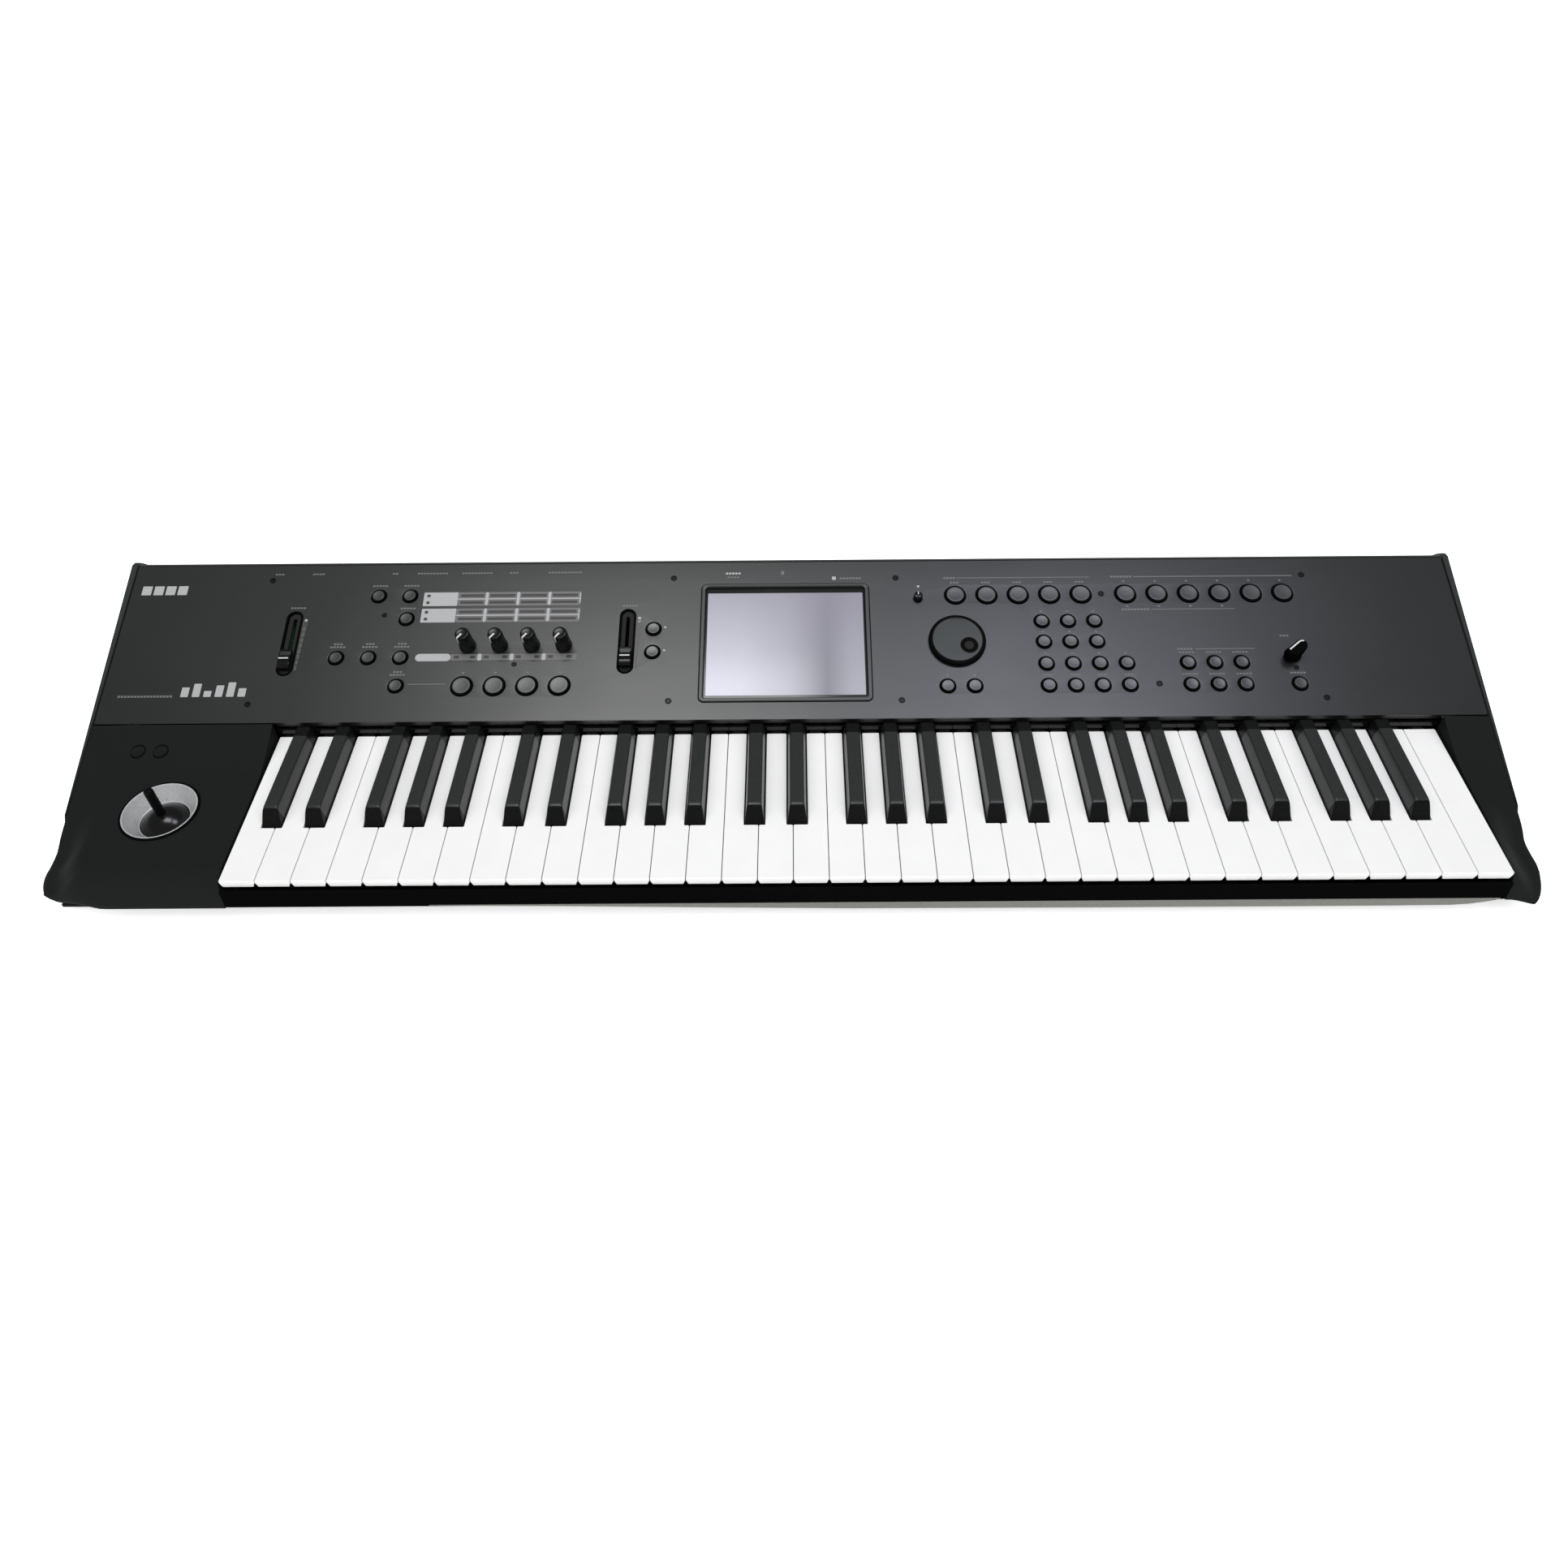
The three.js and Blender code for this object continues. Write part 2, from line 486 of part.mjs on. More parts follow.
// The display's outline, drawn in by an inset on every side.
function displayOutline(inset, corner = display.corner) {
  const [width, height] = [display.width - 2 * inset, display.height - 2 * inset];
  return roundedRectangle(display.x, display.s, width, height, corner);
}
const displayHole = upright(displayOutline(-GAP), -9, 3);
const sheet = block(-PANEL_HALF_WIDTH, PANEL_HALF_WIDTH, 0.2, PANEL_LENGTH, -PANEL_THICKNESS, 0);
const frontLip = block(KEYS_LEFT_X, KEYS_RIGHT_X, 0.2, 2.2, -6.5, -0.5);
addPart('top_panel', cut(join([sheet, frontLip]), [...roundHoles, ...slots, displayHole]), 'panel', panel);

const bezelOuter = upright(displayOutline(0), -3, 0.8);
const bezelInner = upright(displayOutline(display.rim, display.corner - 1.5), -4, 2);
addPart('display_bezel', bezelOuter.subtract(bezelInner), 'gloss', panel);
addPart('display_module', join([
  upright(displayOutline(display.rim + GAP, display.corner - 1.6), -5, -1.6),
  block(display.x - 58, display.x + 58, display.s - 43, display.s + 43, -13, -4.9),
]), 'glass', panel);

// Round button tops, each joined to a strip below the panel.
function button([x, s], radius) {
  return post(x, s, CARRIER_BOTTOM, BUTTON_HEIGHT, radius, radius - 0.4);
}

function strip(x0, x1, s0, s1) {
  return block(x0, x1, s0, s1, CARRIER_BOTTOM, CARRIER_TOP);
}

const flange = ([x, s], radius) => post(x, s, CARRIER_BOTTOM, CARRIER_TOP, radius + FLANGE);
const single = (place, radius) => button(place, radius).add(flange(place, radius));
const lowS = (places) => Math.min(...places.map(([, s]) => s));
const highS = (places) => Math.max(...places.map(([, s]) => s));

const STRIP_HALF = 3;

function row(places, radius) {
  const xs = places.map(([x]) => x);
  const s = places[0][1];
  const joiner = strip(Math.min(...xs), Math.max(...xs), s - STRIP_HALF, s + STRIP_HALF);
  return join([...places.map((place) => button(place, radius)), joiner]);
}

function grid(places, radius, spineX) {
  const rows = [...new Set(places.map(([, s]) => s))];
  const spine = strip(spineX - STRIP_HALF, spineX + STRIP_HALF, lowS(places), highS(places));
  return join([...rows.map((s) => row(places.filter((place) => place[1] === s), radius)), spine]);
}

addPart('mode_buttons', row(modeButtons, LARGE_BUTTON_R), 'button', panel);
addPart('bank_buttons', row(bankButtons, LARGE_BUTTON_R), 'button', panel);
addPart('number_buttons', grid(numberButtons, SMALL_BUTTON_R, numberButtons[1][0]), 'button', panel);
addPart('sequencer_buttons', grid(sequencerButtons, SMALL_BUTTON_R, sequencerButtons[1][0]), 'button', panel);
addPart('dial_buttons', row(dialButtons, SMALL_BUTTON_R), 'button', panel);
addPart('function_buttons', grid(functionButtons, SMALL_BUTTON_R, LEFT_COLUMN_X), 'button', panel);
padPlaces.forEach((place, i) => addPart(`pad_${i + 1}`, single(place, LARGE_BUTTON_R), 'button', panel));
addPart('increment_button', single(incrementPlace, SMALL_BUTTON_R), 'button', panel);
addPart('decrement_button', single(decrementPlace, SMALL_BUTTON_R), 'button', panel);
addPart('tap_button', single(tapPlace, SMALL_BUTTON_R), 'button', panel);

function knob([x, s], radius, height) {
  return join([
    post(x, s, -7, 1, KNOB_SHAFT_R),
    post(x, s, 0.5, height - 1.2, radius, radius - 0.7),
    post(x, s, height - 1.3, height, radius - 0.75, radius - 1.8),
  ]);
}
knobPlaces.forEach((place, i) => {
  addPart(`realtime_knob_${i + 1}`, knob(place, KNOB_R, KNOB_HEIGHT), 'gloss', panel);
});
addPart('contrast_knob', join([
  post(contrastPlace[0], contrastPlace[1], -7, 1, 2.4),
  post(contrastPlace[0], contrastPlace[1], 0.5, 4, 3.6, 3.2),
  post(contrastPlace[0], contrastPlace[1], 3.9, 5, 3.1, 1.8),
]), 'gloss', panel);

// The tempo knob: a round skirt with a tall finger bar that points up and to the right.
const BAR_TURN = THREE.MathUtils.degToRad(51);
const fingerBar = new THREE.ExtrudeGeometry(roundedRectangle(0, 0, 5.4, 17.4, 2.6),
  { depth: 11, bevelEnabled: false, curveSegments: 3 });
fingerBar.rotateZ(-BAR_TURN);
fingerBar.translate(tempoPlace[0], tempoPlace[1], 3.9);
addPart('tempo_knob', join([
  post(tempoPlace[0], tempoPlace[1], -7, 1, KNOB_SHAFT_R),
  post(tempoPlace[0], tempoPlace[1], 0.5, 4, 8, 7),
  toManifold(fingerBar),
]), 'gloss', panel);

addPart('value_dial', cut(join([
  post(dialPlace[0], dialPlace[1], -7, 1, 4),
  post(dialPlace[0], dialPlace[1], 0.6, 3.4, DIAL_R, DIAL_R - 0.4, 32),
  post(dialPlace[0], dialPlace[1], 3.3, 4.2, DIAL_R - 0.5, DIAL_R - 2, 32),
]), [post(dialPlace[0] + 8.4, dialPlace[1] - 5.2, 2.8, 6, 5.2, 6.6, 16)]), 'gloss', panel);

const CAP_HALF = 4.3;
// Each point's place along s from the cap's middle, and its height.
const capOutline = [[-8.2, 1], [-7.7, 4.6], [-1.6, 5.4], [1.6, 5.4], [7.7, 4.6], [8.2, 1]];
Object.entries(sliders).forEach(([name, [x, s]]) => {
  const cap = profile(capOutline.map(([along, height]) => [s + along, height]), x - CAP_HALF, x + CAP_HALF);
  const stem = block(x - 1.2, x + 1.2, s - 2.5, s + 2.5, -7, 1.5);
  addPart(`${name}_slider_cap`, cap.add(stem), 'gloss', panel);
});

// The board that the buttons and knobs press on and turn in, notched round the display.
const PANEL_BOARD_H = [-10 - BOARD_THICKNESS, -10];
const displayNotch = block(display.x - 66, display.x + 66, 14.5, 130, -20, 0);
addPart('panel_board', block(-400, 400, 10, 124, ...PANEL_BOARD_H).subtract(displayNotch), 'board', panel);

// ---------------------------------------------------------------- joystick
const dishTop = KEY_TOP_Z + 0.2;
const dishFloor = dishTop - DISH_DEPTH;
const ballRadiusAt = (z) => Math.sqrt(BALL_R ** 2 - (z - BALL_Z) ** 2);
addPart('joystick_dish', turned(STICK_X, STICK_Y, [
  [DISH_R, dishTop], [DISH_R - 1.4, dishTop], [ballRadiusAt(dishFloor) + 1.6, dishFloor + 0.6],
  [ballRadiusAt(dishFloor) + 0.6, dishFloor], [ballRadiusAt(dishFloor - 2) + 0.7, dishFloor - 2],
  [DISH_R - 3, dishFloor], [DISH_R, dishTop - 3], [DISH_R, dishTop],
], 20), 'silver');

const BALL_EDGE = THREE.MathUtils.degToRad(68);
const PIN_R = 1.5;                     // the pins that the lever and its ring turn on
const PIN_HOLE_R = 1.9;
const arc = (radius, from, to, steps) => repeat(steps + 1, (i) => {
  const angle = from + (to - from) * i / steps;
  return [radius * Math.sin(angle), BALL_Z + radius * Math.cos(angle)];
});
const ballShell = turned(STICK_X, STICK_Y, [
  ...arc(BALL_R - 2.2, 0, BALL_EDGE, 3), ...arc(BALL_R, BALL_EDGE, 0, 5),
], 18);
addPart('joystick_lever', join([
  ballShell,
  post(STICK_X, STICK_Y, BALL_Z, STICK_TOP_Z - 1, STICK_R, STICK_R - 0.3),
  post(STICK_X, STICK_Y, STICK_TOP_Z - 1.1, STICK_TOP_Z, STICK_R - 0.35, STICK_R - 1.2),
  bar('x', [0, STICK_Y, BALL_Z], STICK_X - 10.4, STICK_X + 10.4, PIN_R),
]), 'black');

const RING_INNER = 8;
const RING_OUTER = 11;
const BRACKET_HALF = 26;
const EAR_INNER = 23.6;
const aroundStick = (half, halfZ) =>
  block(STICK_X - half, STICK_X + half, STICK_Y - half, STICK_Y + half, BALL_Z - halfZ, BALL_Z + halfZ);
addPart('joystick_gimbal', cut(join([
  aroundStick(RING_OUTER, 3),
  bar('y', [STICK_X, 0, BALL_Z], STICK_Y - 25, STICK_Y + 25, PIN_R),
]), [
  aroundStick(RING_INNER, 5),
  bar('x', [0, STICK_Y, BALL_Z], STICK_X - 14, STICK_X + 14, PIN_HOLE_R),
]), 'steel');
addPart('joystick_bracket', cut(join([
  block(STICK_X - 14, STICK_X + 14, STICK_Y - BRACKET_HALF, STICK_Y + BRACKET_HALF, 9, 11),
  block(STICK_X - 6, STICK_X + 6, STICK_Y - BRACKET_HALF, STICK_Y - EAR_INNER, 10, BALL_Z + 4),
  block(STICK_X - 6, STICK_X + 6, STICK_Y + EAR_INNER, STICK_Y + BRACKET_HALF, 10, BALL_Z + 4),
]), [bar('y', [STICK_X, 0, BALL_Z], STICK_Y - 30, STICK_Y + 30, PIN_HOLE_R)]), 'steel');

assignSwitches.forEach(([x, y], i) => {
  const top = blockTopZ(PANEL_HALF_WIDTH + 0.6 + x, y) + 0.9;
  addPart(`assign_switch_${i + 1}`, join([
    post(x, y, top - 8, top, ASSIGN_R, ASSIGN_R - 0.4),
    post(x, y, top - 9, top - 7, ASSIGN_R + 1.5),
  ]), 'button');
});

// ---------------------------------------------------------------- feet
const FOOT_R = 11;
const FOOT_X = 484;
const feet = { front_left: [-1, -133], front_right: [1, -133], rear_left: [-1, 128], rear_right: [1, 128] };
Object.entries(feet).forEach(([name, [side, y]]) => {
  addPart(`foot_${name}`, post(side * FOOT_X, y, 0, CASE_BOTTOM_Z - GAP, FOOT_R - 1, FOOT_R, 16), 'rubber');
});

export default synthesizer;
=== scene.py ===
import json
import math

import bmesh
import bpy
from mathutils import Matrix, Vector
from mathutils.geometry import delaunay_2d_cdt, tessellate_polygon


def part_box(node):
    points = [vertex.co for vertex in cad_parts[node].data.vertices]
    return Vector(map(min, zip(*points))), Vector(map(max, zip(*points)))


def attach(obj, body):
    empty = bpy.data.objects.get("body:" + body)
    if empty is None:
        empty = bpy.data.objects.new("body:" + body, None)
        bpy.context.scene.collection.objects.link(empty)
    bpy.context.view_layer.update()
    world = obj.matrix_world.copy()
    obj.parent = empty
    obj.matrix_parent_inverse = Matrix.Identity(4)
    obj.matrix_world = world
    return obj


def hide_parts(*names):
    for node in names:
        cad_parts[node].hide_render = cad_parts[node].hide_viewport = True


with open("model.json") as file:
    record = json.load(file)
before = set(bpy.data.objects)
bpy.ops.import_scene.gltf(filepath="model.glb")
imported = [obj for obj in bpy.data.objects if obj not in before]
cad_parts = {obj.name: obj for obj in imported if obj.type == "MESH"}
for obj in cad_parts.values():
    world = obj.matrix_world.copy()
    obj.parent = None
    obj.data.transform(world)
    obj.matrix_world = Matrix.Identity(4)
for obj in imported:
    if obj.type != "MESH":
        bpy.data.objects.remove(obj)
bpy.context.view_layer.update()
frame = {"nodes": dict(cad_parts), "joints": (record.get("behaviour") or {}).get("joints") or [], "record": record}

# ---------------------------------------------------------------- drawing frames, in millimetres
MM = Matrix.Scale(0.001, 4)
JOINTS = {joint["name"]: joint for joint in frame["joints"]}
OPENINGS = {opening["name"]: opening["box_m"] for opening in frame["record"]["physics"]["openings"]}
ALONG_X = Matrix(((0, 0, 1, 0), (1, 0, 0, 0), (0, 1, 0, 0), (0, 0, 0, 1)))    # drawn in Y and Z, run along X
ALONG_Y = Matrix(((-1, 0, 0, 0), (0, 0, 1, 0), (0, 1, 0, 0), (0, 0, 0, 1)))   # drawn in X and Z, run along Y


def at(x, y, z=0):
    return Matrix.Translation((x, y, z))


def extent(node, place=MM):
    """Lowest and highest corner of a CAD node, in a drawing frame."""
    to_drawing = place.inverted()
    points = [to_drawing @ vertex.co for vertex in frame["nodes"][node].data.vertices]
    low = Vector([min(point[axis] for point in points) for axis in range(3)])
    high = Vector([max(point[axis] for point in points) for axis in range(3)])
    return low, high


# The sloping panel's frame: x along the instrument, s up the slope, h above the sheet.
DIAL_AXIS = Vector(JOINTS["dial_turn"]["axis"])
TILT = math.atan2(-DIAL_AXIS.y, DIAL_AXIS.z)
SHEET_MARGIN = 0.2                     # from the slope's lower edge to the metal
FASCIA_Y = extent("top_panel")[0].y - SHEET_MARGIN * math.cos(TILT)
DIAL_POINT = Vector(JOINTS["dial_turn"]["pos_m"]) * 1000
PANEL_Z = DIAL_POINT.z - (DIAL_POINT.y - FASCIA_Y) * math.tan(TILT)
PANEL = MM @ at(0, FASCIA_Y, PANEL_Z) @ Matrix.Rotation(TILT, 4, "X")


def joint_place(name):
    """Where a joint's axis crosses the panel, in the panel's frame."""
    point = PANEL.inverted() @ Vector(JOINTS[name]["pos_m"])
    return point.x, point.y


def tops(node, height=2.0, reach=6.0):
    """Centres of the flat tops of a node's buttons, in the panel's frame, by x and then by s."""
    to_panel = PANEL.inverted()
    points = [to_panel @ vertex.co for vertex in frame["nodes"][node].data.vertices]
    left = [point.xy for point in points if abs(point.z - height) < 0.05]
    centres = []
    while left:
        group = [left.pop()]
        for member in group:
            near = [point for point in left if (point - member).length < reach]
            group.extend(near)
            left = [point for point in left if point not in near]
        xs = [point.x for point in group]
        ys = [point.y for point in group]
        if max(xs) - min(xs) > reach:
            centres.append(((min(xs) + max(xs)) / 2, (min(ys) + max(ys)) / 2))
    return sorted(centres)


# ---------------------------------------------------------------- outlines
def circle(x, y, radius, sides=32):
    """An anticlockwise loop."""
    angles = [2 * math.pi * i / sides for i in range(sides)]
    return [Vector((x + radius * math.cos(a), y + radius * math.sin(a))) for a in angles]


def rounded(corners, radii, steps=4):
    """A closed outline with each corner turned into an arc of its radius."""
    outline = []
    count = len(corners)
    for i, corner in enumerate(corners):
        radius = radii[i] if isinstance(radii, (list, tuple)) else radii
        here = Vector(corner)
        if radius <= 0:
            outline.append(here)
            continue
        back = (Vector(corners[i - 1]) - here).normalized()
        ahead = (Vector(corners[(i + 1) % count]) - here).normalized()
        half = back.angle(ahead) / 2
        centre = here + (back + ahead).normalized() * (radius / math.sin(half))
        start = here + back * (radius / math.tan(half)) - centre
        end = here + ahead * (radius / math.tan(half)) - centre
        for k in range(steps + 1):
            outline.append(centre + start.lerp(end, k / steps).normalized() * radius)
    return outline


def rectangle(x0, x1, y0, y1, radius=0.0, steps=4):
    return rounded([(x0, y0), (x1, y0), (x1, y1), (x0, y1)], radius, steps)


def clockwise(loop):
    return list(reversed(loop))


def offset(loop, inset):
    """An anticlockwise loop moved inwards, or a clockwise hole moved outwards."""
    moved = []
    count = len(loop)
    for i, here in enumerate(loop):
        here = Vector(here)
        into = (here - Vector(loop[i - 1])).normalized()
        out = (Vector(loop[(i + 1) % count]) - here).normalized()
        side_in = Vector((-into.y, into.x))
        side_out = Vector((-out.y, out.x))
        moved.append(here + (side_in + side_out) * (inset / max(0.4, 1 + side_in.dot(side_out))))
    return moved


def fill(loops):
    """Triangles over the area inside the first loop and outside the others."""
    if len(loops) < 3:
        return [tuple(triangle) for triangle in tessellate_polygon(loops)]
    points = [point.xy for loop in loops for point in loop]
    edges = []
    owner = []
    for number, loop in enumerate(loops):
        base = len(owner)
        edges += [(base + i, base + (i + 1) % len(loop)) for i in range(len(loop))]
        owner += [number] * len(loop)
    _, _, found, sources, _, _ = delaunay_2d_cdt(points, edges, [], 1, 1e-5)
    triangles = [tuple(sources[index][0] for index in face) for face in found]
    # A triangle with every corner on one round hole lies in that hole.
    return [t for t in triangles if len({owner[i] for i in t}) > 1 or owner[t[0]] == 0]


# ---------------------------------------------------------------- meshes
def eased_ends(low, high, ease):
    """A plate's levels, with both its faces eased."""
    return [(ease, low), (0, low + ease), (0, high - ease), (ease, high)]


def soft_ends(low, high, near, far):
    """A plate's levels, with both its edges rounded over half a millimetre."""
    return [(far, low), (near, low + 0.15), (0, low + 0.5), (0, high - 0.5), (near, high - 0.15), (far, high)]


class Form:
    """Points and faces gathered for one piece, in a drawing frame. A kind picks a face's material."""

    def __init__(self):
        self.points = []
        self.faces = []
        self.kinds = []

    def add(self, points, faces, kind=0, place=None):
        start = len(self.points)
        for point in points:
            point = Vector(point)
            self.points.append(place @ point if place else point)
        for face in faces:
            self.faces.append([start + index for index in face])
            self.kinds.append(kind)

    def skin(self, rings, kind=0, place=None):
        """A closed skin over rings with equal counts of points, capped at both ends."""
        count = len(rings[0])
        points = [point for ring in rings for point in ring]
        faces = []
        for r in range(len(rings) - 1):
            low = r * count
            high = low + count
            for i in range(count):
                j = (i + 1) % count
                faces.append((low + i, low + j, high + j, high + i))
        last = (len(rings) - 1) * count
        faces.append(tuple(reversed(range(count))))
        faces.append(tuple(range(last, last + count)))
        self.add(points, faces, kind, place)

    def plate(self, outer, holes, levels, kind=0, place=None):
        """A solid between flat ends. levels gives the inset and the height of each ring of points."""
        loops = [outer] + [clockwise(hole) for hole in holes]
        points = []
        faces = []
        starts = []
        for inset, height in levels:
            starts.append(len(points))
            for loop in loops:
                points.extend([Vector((p.x, p.y, height)) for p in offset(loop, inset)])
        for low, high in zip(starts, starts[1:]):
            base = 0
            for loop in loops:
                count = len(loop)
                for i in range(count):
                    j = (i + 1) % count
                    faces.append((low + base + i, low + base + j, high + base + j, high + base + i))
                base += count
        for start in (starts[0], starts[-1]):
            flat = []
            base = start
            for loop in loops:
                flat.append([points[base + i] for i in range(len(loop))])
                base += len(loop)
            faces.extend([tuple(start + index for index in t) for t in fill(flat)])
        self.add(points, faces, kind, place)

    def turned(self, profile, sides=32, kind=0, place=None):
        """A profile of radius and height, turned about the drawing's upright axis."""
        rings = []
        for radius, height in profile:
            rings.append([Vector((p.x, p.y, height)) for p in circle(0, 0, radius, sides)])
        self.skin(rings, kind, place)

    def ring(self, section, sides=32, kind=0, place=None):
        """A closed section of radius and height, turned into a hoop."""
        count = len(section)
        points = []
        for step in range(sides):
            angle = 2 * math.pi * step / sides
            points.extend([(r * math.cos(angle), r * math.sin(angle), z) for r, z in section])
        faces = []
        for step in range(sides):
            near = step * count
            far = (step + 1) % sides * count
            for i in range(count):
                j = (i + 1) % count
                faces.append((near + i, near + j, far + j, far + i))
        self.add(points, faces, kind, place)

    def block(self, low, high, edge=0.3, kind=0, place=None):
        """A box with rounded upright edges, and rounded above and below."""
        outline = rectangle(low[0], high[0], low[1], high[1], edge * 1.5, 3)
        levels = [(edge, low[2]), (0.3 * edge, low[2] + 0.3 * edge), (0, low[2] + edge),
                  (0, high[2] - edge), (0.3 * edge, high[2] - 0.3 * edge), (edge, high[2])]
        self.plate(outline, [], levels, kind, place)

    def ribbon(self, path, width, thick, kind=0, place=None):
        """A thin strip laid along a path of points, each given with the way out of the surface there."""
        rings = []
        for i, (here, up) in enumerate(path):
            here = Vector(here)
            up = Vector(up).normalized()
            before = Vector(path[max(0, i - 1)][0])
            after = Vector(path[min(len(path) - 1, i + 1)][0])
            side = (after - before).normalized().cross(up) * (width / 2)
            rings.append([here - side, here + side, here + side + up * thick, here - side + up * thick])
        self.skin(rings, kind, place)

    def mesh(self, name, place):
        mesh = bpy.data.meshes.new(name)
        mesh.from_pydata([place @ Vector(point) for point in self.points], [], self.faces)
        mesh.polygons.foreach_set("material_index", self.kinds)
        whole = bmesh.new()
        whole.from_mesh(mesh)
        bmesh.ops.recalc_face_normals(whole, faces=whole.faces)
        whole.to_mesh(mesh)
        whole.free()
        return mesh


def carved(mesh, cutters):
    """The mesh with the cutters' volumes taken out of it."""
    scene = bpy.context.scene
    body = bpy.data.objects.new("carving", mesh)
    scene.collection.objects.link(body)
    tools = []
    for cutter in cutters:
        tool = bpy.data.objects.new("cutter", cutter)
        scene.collection.objects.link(tool)
        modifier = body.modifiers.new("cut", "BOOLEAN")
        modifier.operation = "DIFFERENCE"
        modifier.solver = "EXACT"
        modifier.object = tool
        tools.append(tool)
    evaluated = body.evaluated_get(bpy.context.evaluated_depsgraph_get())
    result = bpy.data.meshes.new_from_object(evaluated)
    for leftover in [body, *tools]:
        bpy.data.objects.remove(leftover)
    return result


CREASE = math.radians(38)              # edges sharper than this stay crisp


def piece(name, form, materials, body="root", replaces=(), place=MM, cutters=()):
    mesh = form.mesh(name, place)
    if cutters:
        mesh = carved(mesh, [cutter.mesh("cutter", place) for cutter in cutters])
        mesh.materials.clear()
        mesh.name = name
    for material in materials:
        mesh.materials.append(material)
    mesh.shade_smooth()
    mesh.set_sharp_from_angle(angle=CREASE)
    thing = bpy.data.objects.new(name, mesh)
    bpy.context.scene.collection.objects.link(thing)
    normals = thing.modifiers.new("even_flats", "WEIGHTED_NORMAL")
    normals.keep_sharp = True
    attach(thing, body)
    if replaces:
        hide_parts(*replaces)
    return thing


# ---------------------------------------------------------------- materials
class Look:
    """One procedural material, built up node by node on a Principled shader."""

    def __init__(self, name, metallic=0.0, specular=0.5, coat=0.0, coat_roughness=0.1):
        self.material = bpy.data.materials.new(name)
        self.material.use_nodes = True
        self.nodes = self.material.node_tree.nodes
        self.links = self.material.node_tree.links
        self.shader = self.nodes["Principled BSDF"]
        self.shader.inputs["Metallic"].default_value = metallic
        self.shader.inputs["Specular IOR Level"].default_value = specular
        self.shader.inputs["Coat Weight"].default_value = coat
        self.shader.inputs["Coat Roughness"].default_value = coat_roughness
        self.coordinates = self.nodes.new("ShaderNodeTexCoord")

    def noise(self, scale, detail=3.0, stretch=(1, 1, 1)):
        mapping = self.nodes.new("ShaderNodeMapping")
        mapping.inputs["Scale"].default_value = stretch
        self.links.new(self.coordinates.outputs["Object"], mapping.inputs["Vector"])
        noise = self.nodes.new("ShaderNodeTexNoise")
        noise.inputs["Scale"].default_value = scale
        noise.inputs["Detail"].default_value = detail
        self.links.new(mapping.outputs["Vector"], noise.inputs["Vector"])
        return noise.outputs["Fac"]

    def ramp(self, value, stops):
        """Colours at places from 0 to 1."""
        ramp = self.nodes.new("ShaderNodeValToRGB")
        elements = ramp.color_ramp.elements
        while len(elements) < len(stops):
            elements.new(0.5)
        for element, (place, colour) in zip(elements, stops):
            element.position = place
            element.color = (*colour, 1)
        self.links.new(value, ramp.inputs["Fac"])
        return ramp.outputs["Color"]

    def blend(self, factor, first, second):
        """Two colour sockets mixed by a factor socket."""
        mix = self.nodes.new("ShaderNodeMix")
        mix.data_type = "RGBA"
        self.links.new(factor, mix.inputs["Factor"])
        self.links.new(first, mix.inputs["A"])
        self.links.new(second, mix.inputs["B"])
        return mix.outputs["Result"]

    def spread(self, value, low, high, from_low=0.3, from_high=0.7):
        span = self.nodes.new("ShaderNodeMapRange")
        span.inputs["From Min"].default_value = from_low
        span.inputs["From Max"].default_value = from_high
        span.inputs["To Min"].default_value = low
        span.inputs["To Max"].default_value = high
        self.links.new(value, span.inputs["Value"])
        return span.outputs["Result"]

    def place(self, axis, low, high):
        """How far along an axis a point lies between two places in millimetres, from 0 to 1."""
        split = self.nodes.new("ShaderNodeSeparateXYZ")
        self.links.new(self.coordinates.outputs["Object"], split.inputs["Vector"])
        return self.spread(split.outputs[axis], 0.0, 1.0, low / 1000, high / 1000)

    def colour(self, socket):
        self.links.new(socket, self.shader.inputs["Base Color"])

    def rough(self, value, low, high):
        self.links.new(self.spread(value, low, high), self.shader.inputs["Roughness"])

    def bump(self, value, strength, distance):
        """Relief of that depth in millimetres."""
        bump = self.nodes.new("ShaderNodeBump")
        bump.inputs["Strength"].default_value = strength
        bump.inputs["Distance"].default_value = distance / 1000
        self.links.new(value, bump.inputs["Height"])
        self.links.new(bump.outputs["Normal"], self.shader.inputs["Normal"])


def moulded(name, dark, light, grain=900, rough=(0.4, 0.5), relief=0.01, cloud=9, **shader):
    """Plastic or paint: a fine grain over broad, faint changes of tone."""
    look = Look(name, **shader)
    fine = look.noise(grain, 4)
    broad = look.noise(cloud, 2)
    middle = tuple((a + b) / 2 for a, b in zip(dark, light))
    grained = look.ramp(fine, [(0.3, dark), (0.7, light)])
    calm = look.ramp(fine, [(0.2, middle), (0.8, light)])
    look.colour(look.blend(broad, grained, calm))
    look.rough(broad, *rough)
    look.bump(fine, 0.5, relief)
    return look.material


def grey(level, tint=(1.0, 1.0, 1.0)):
    return tuple(level * t for t in tint)


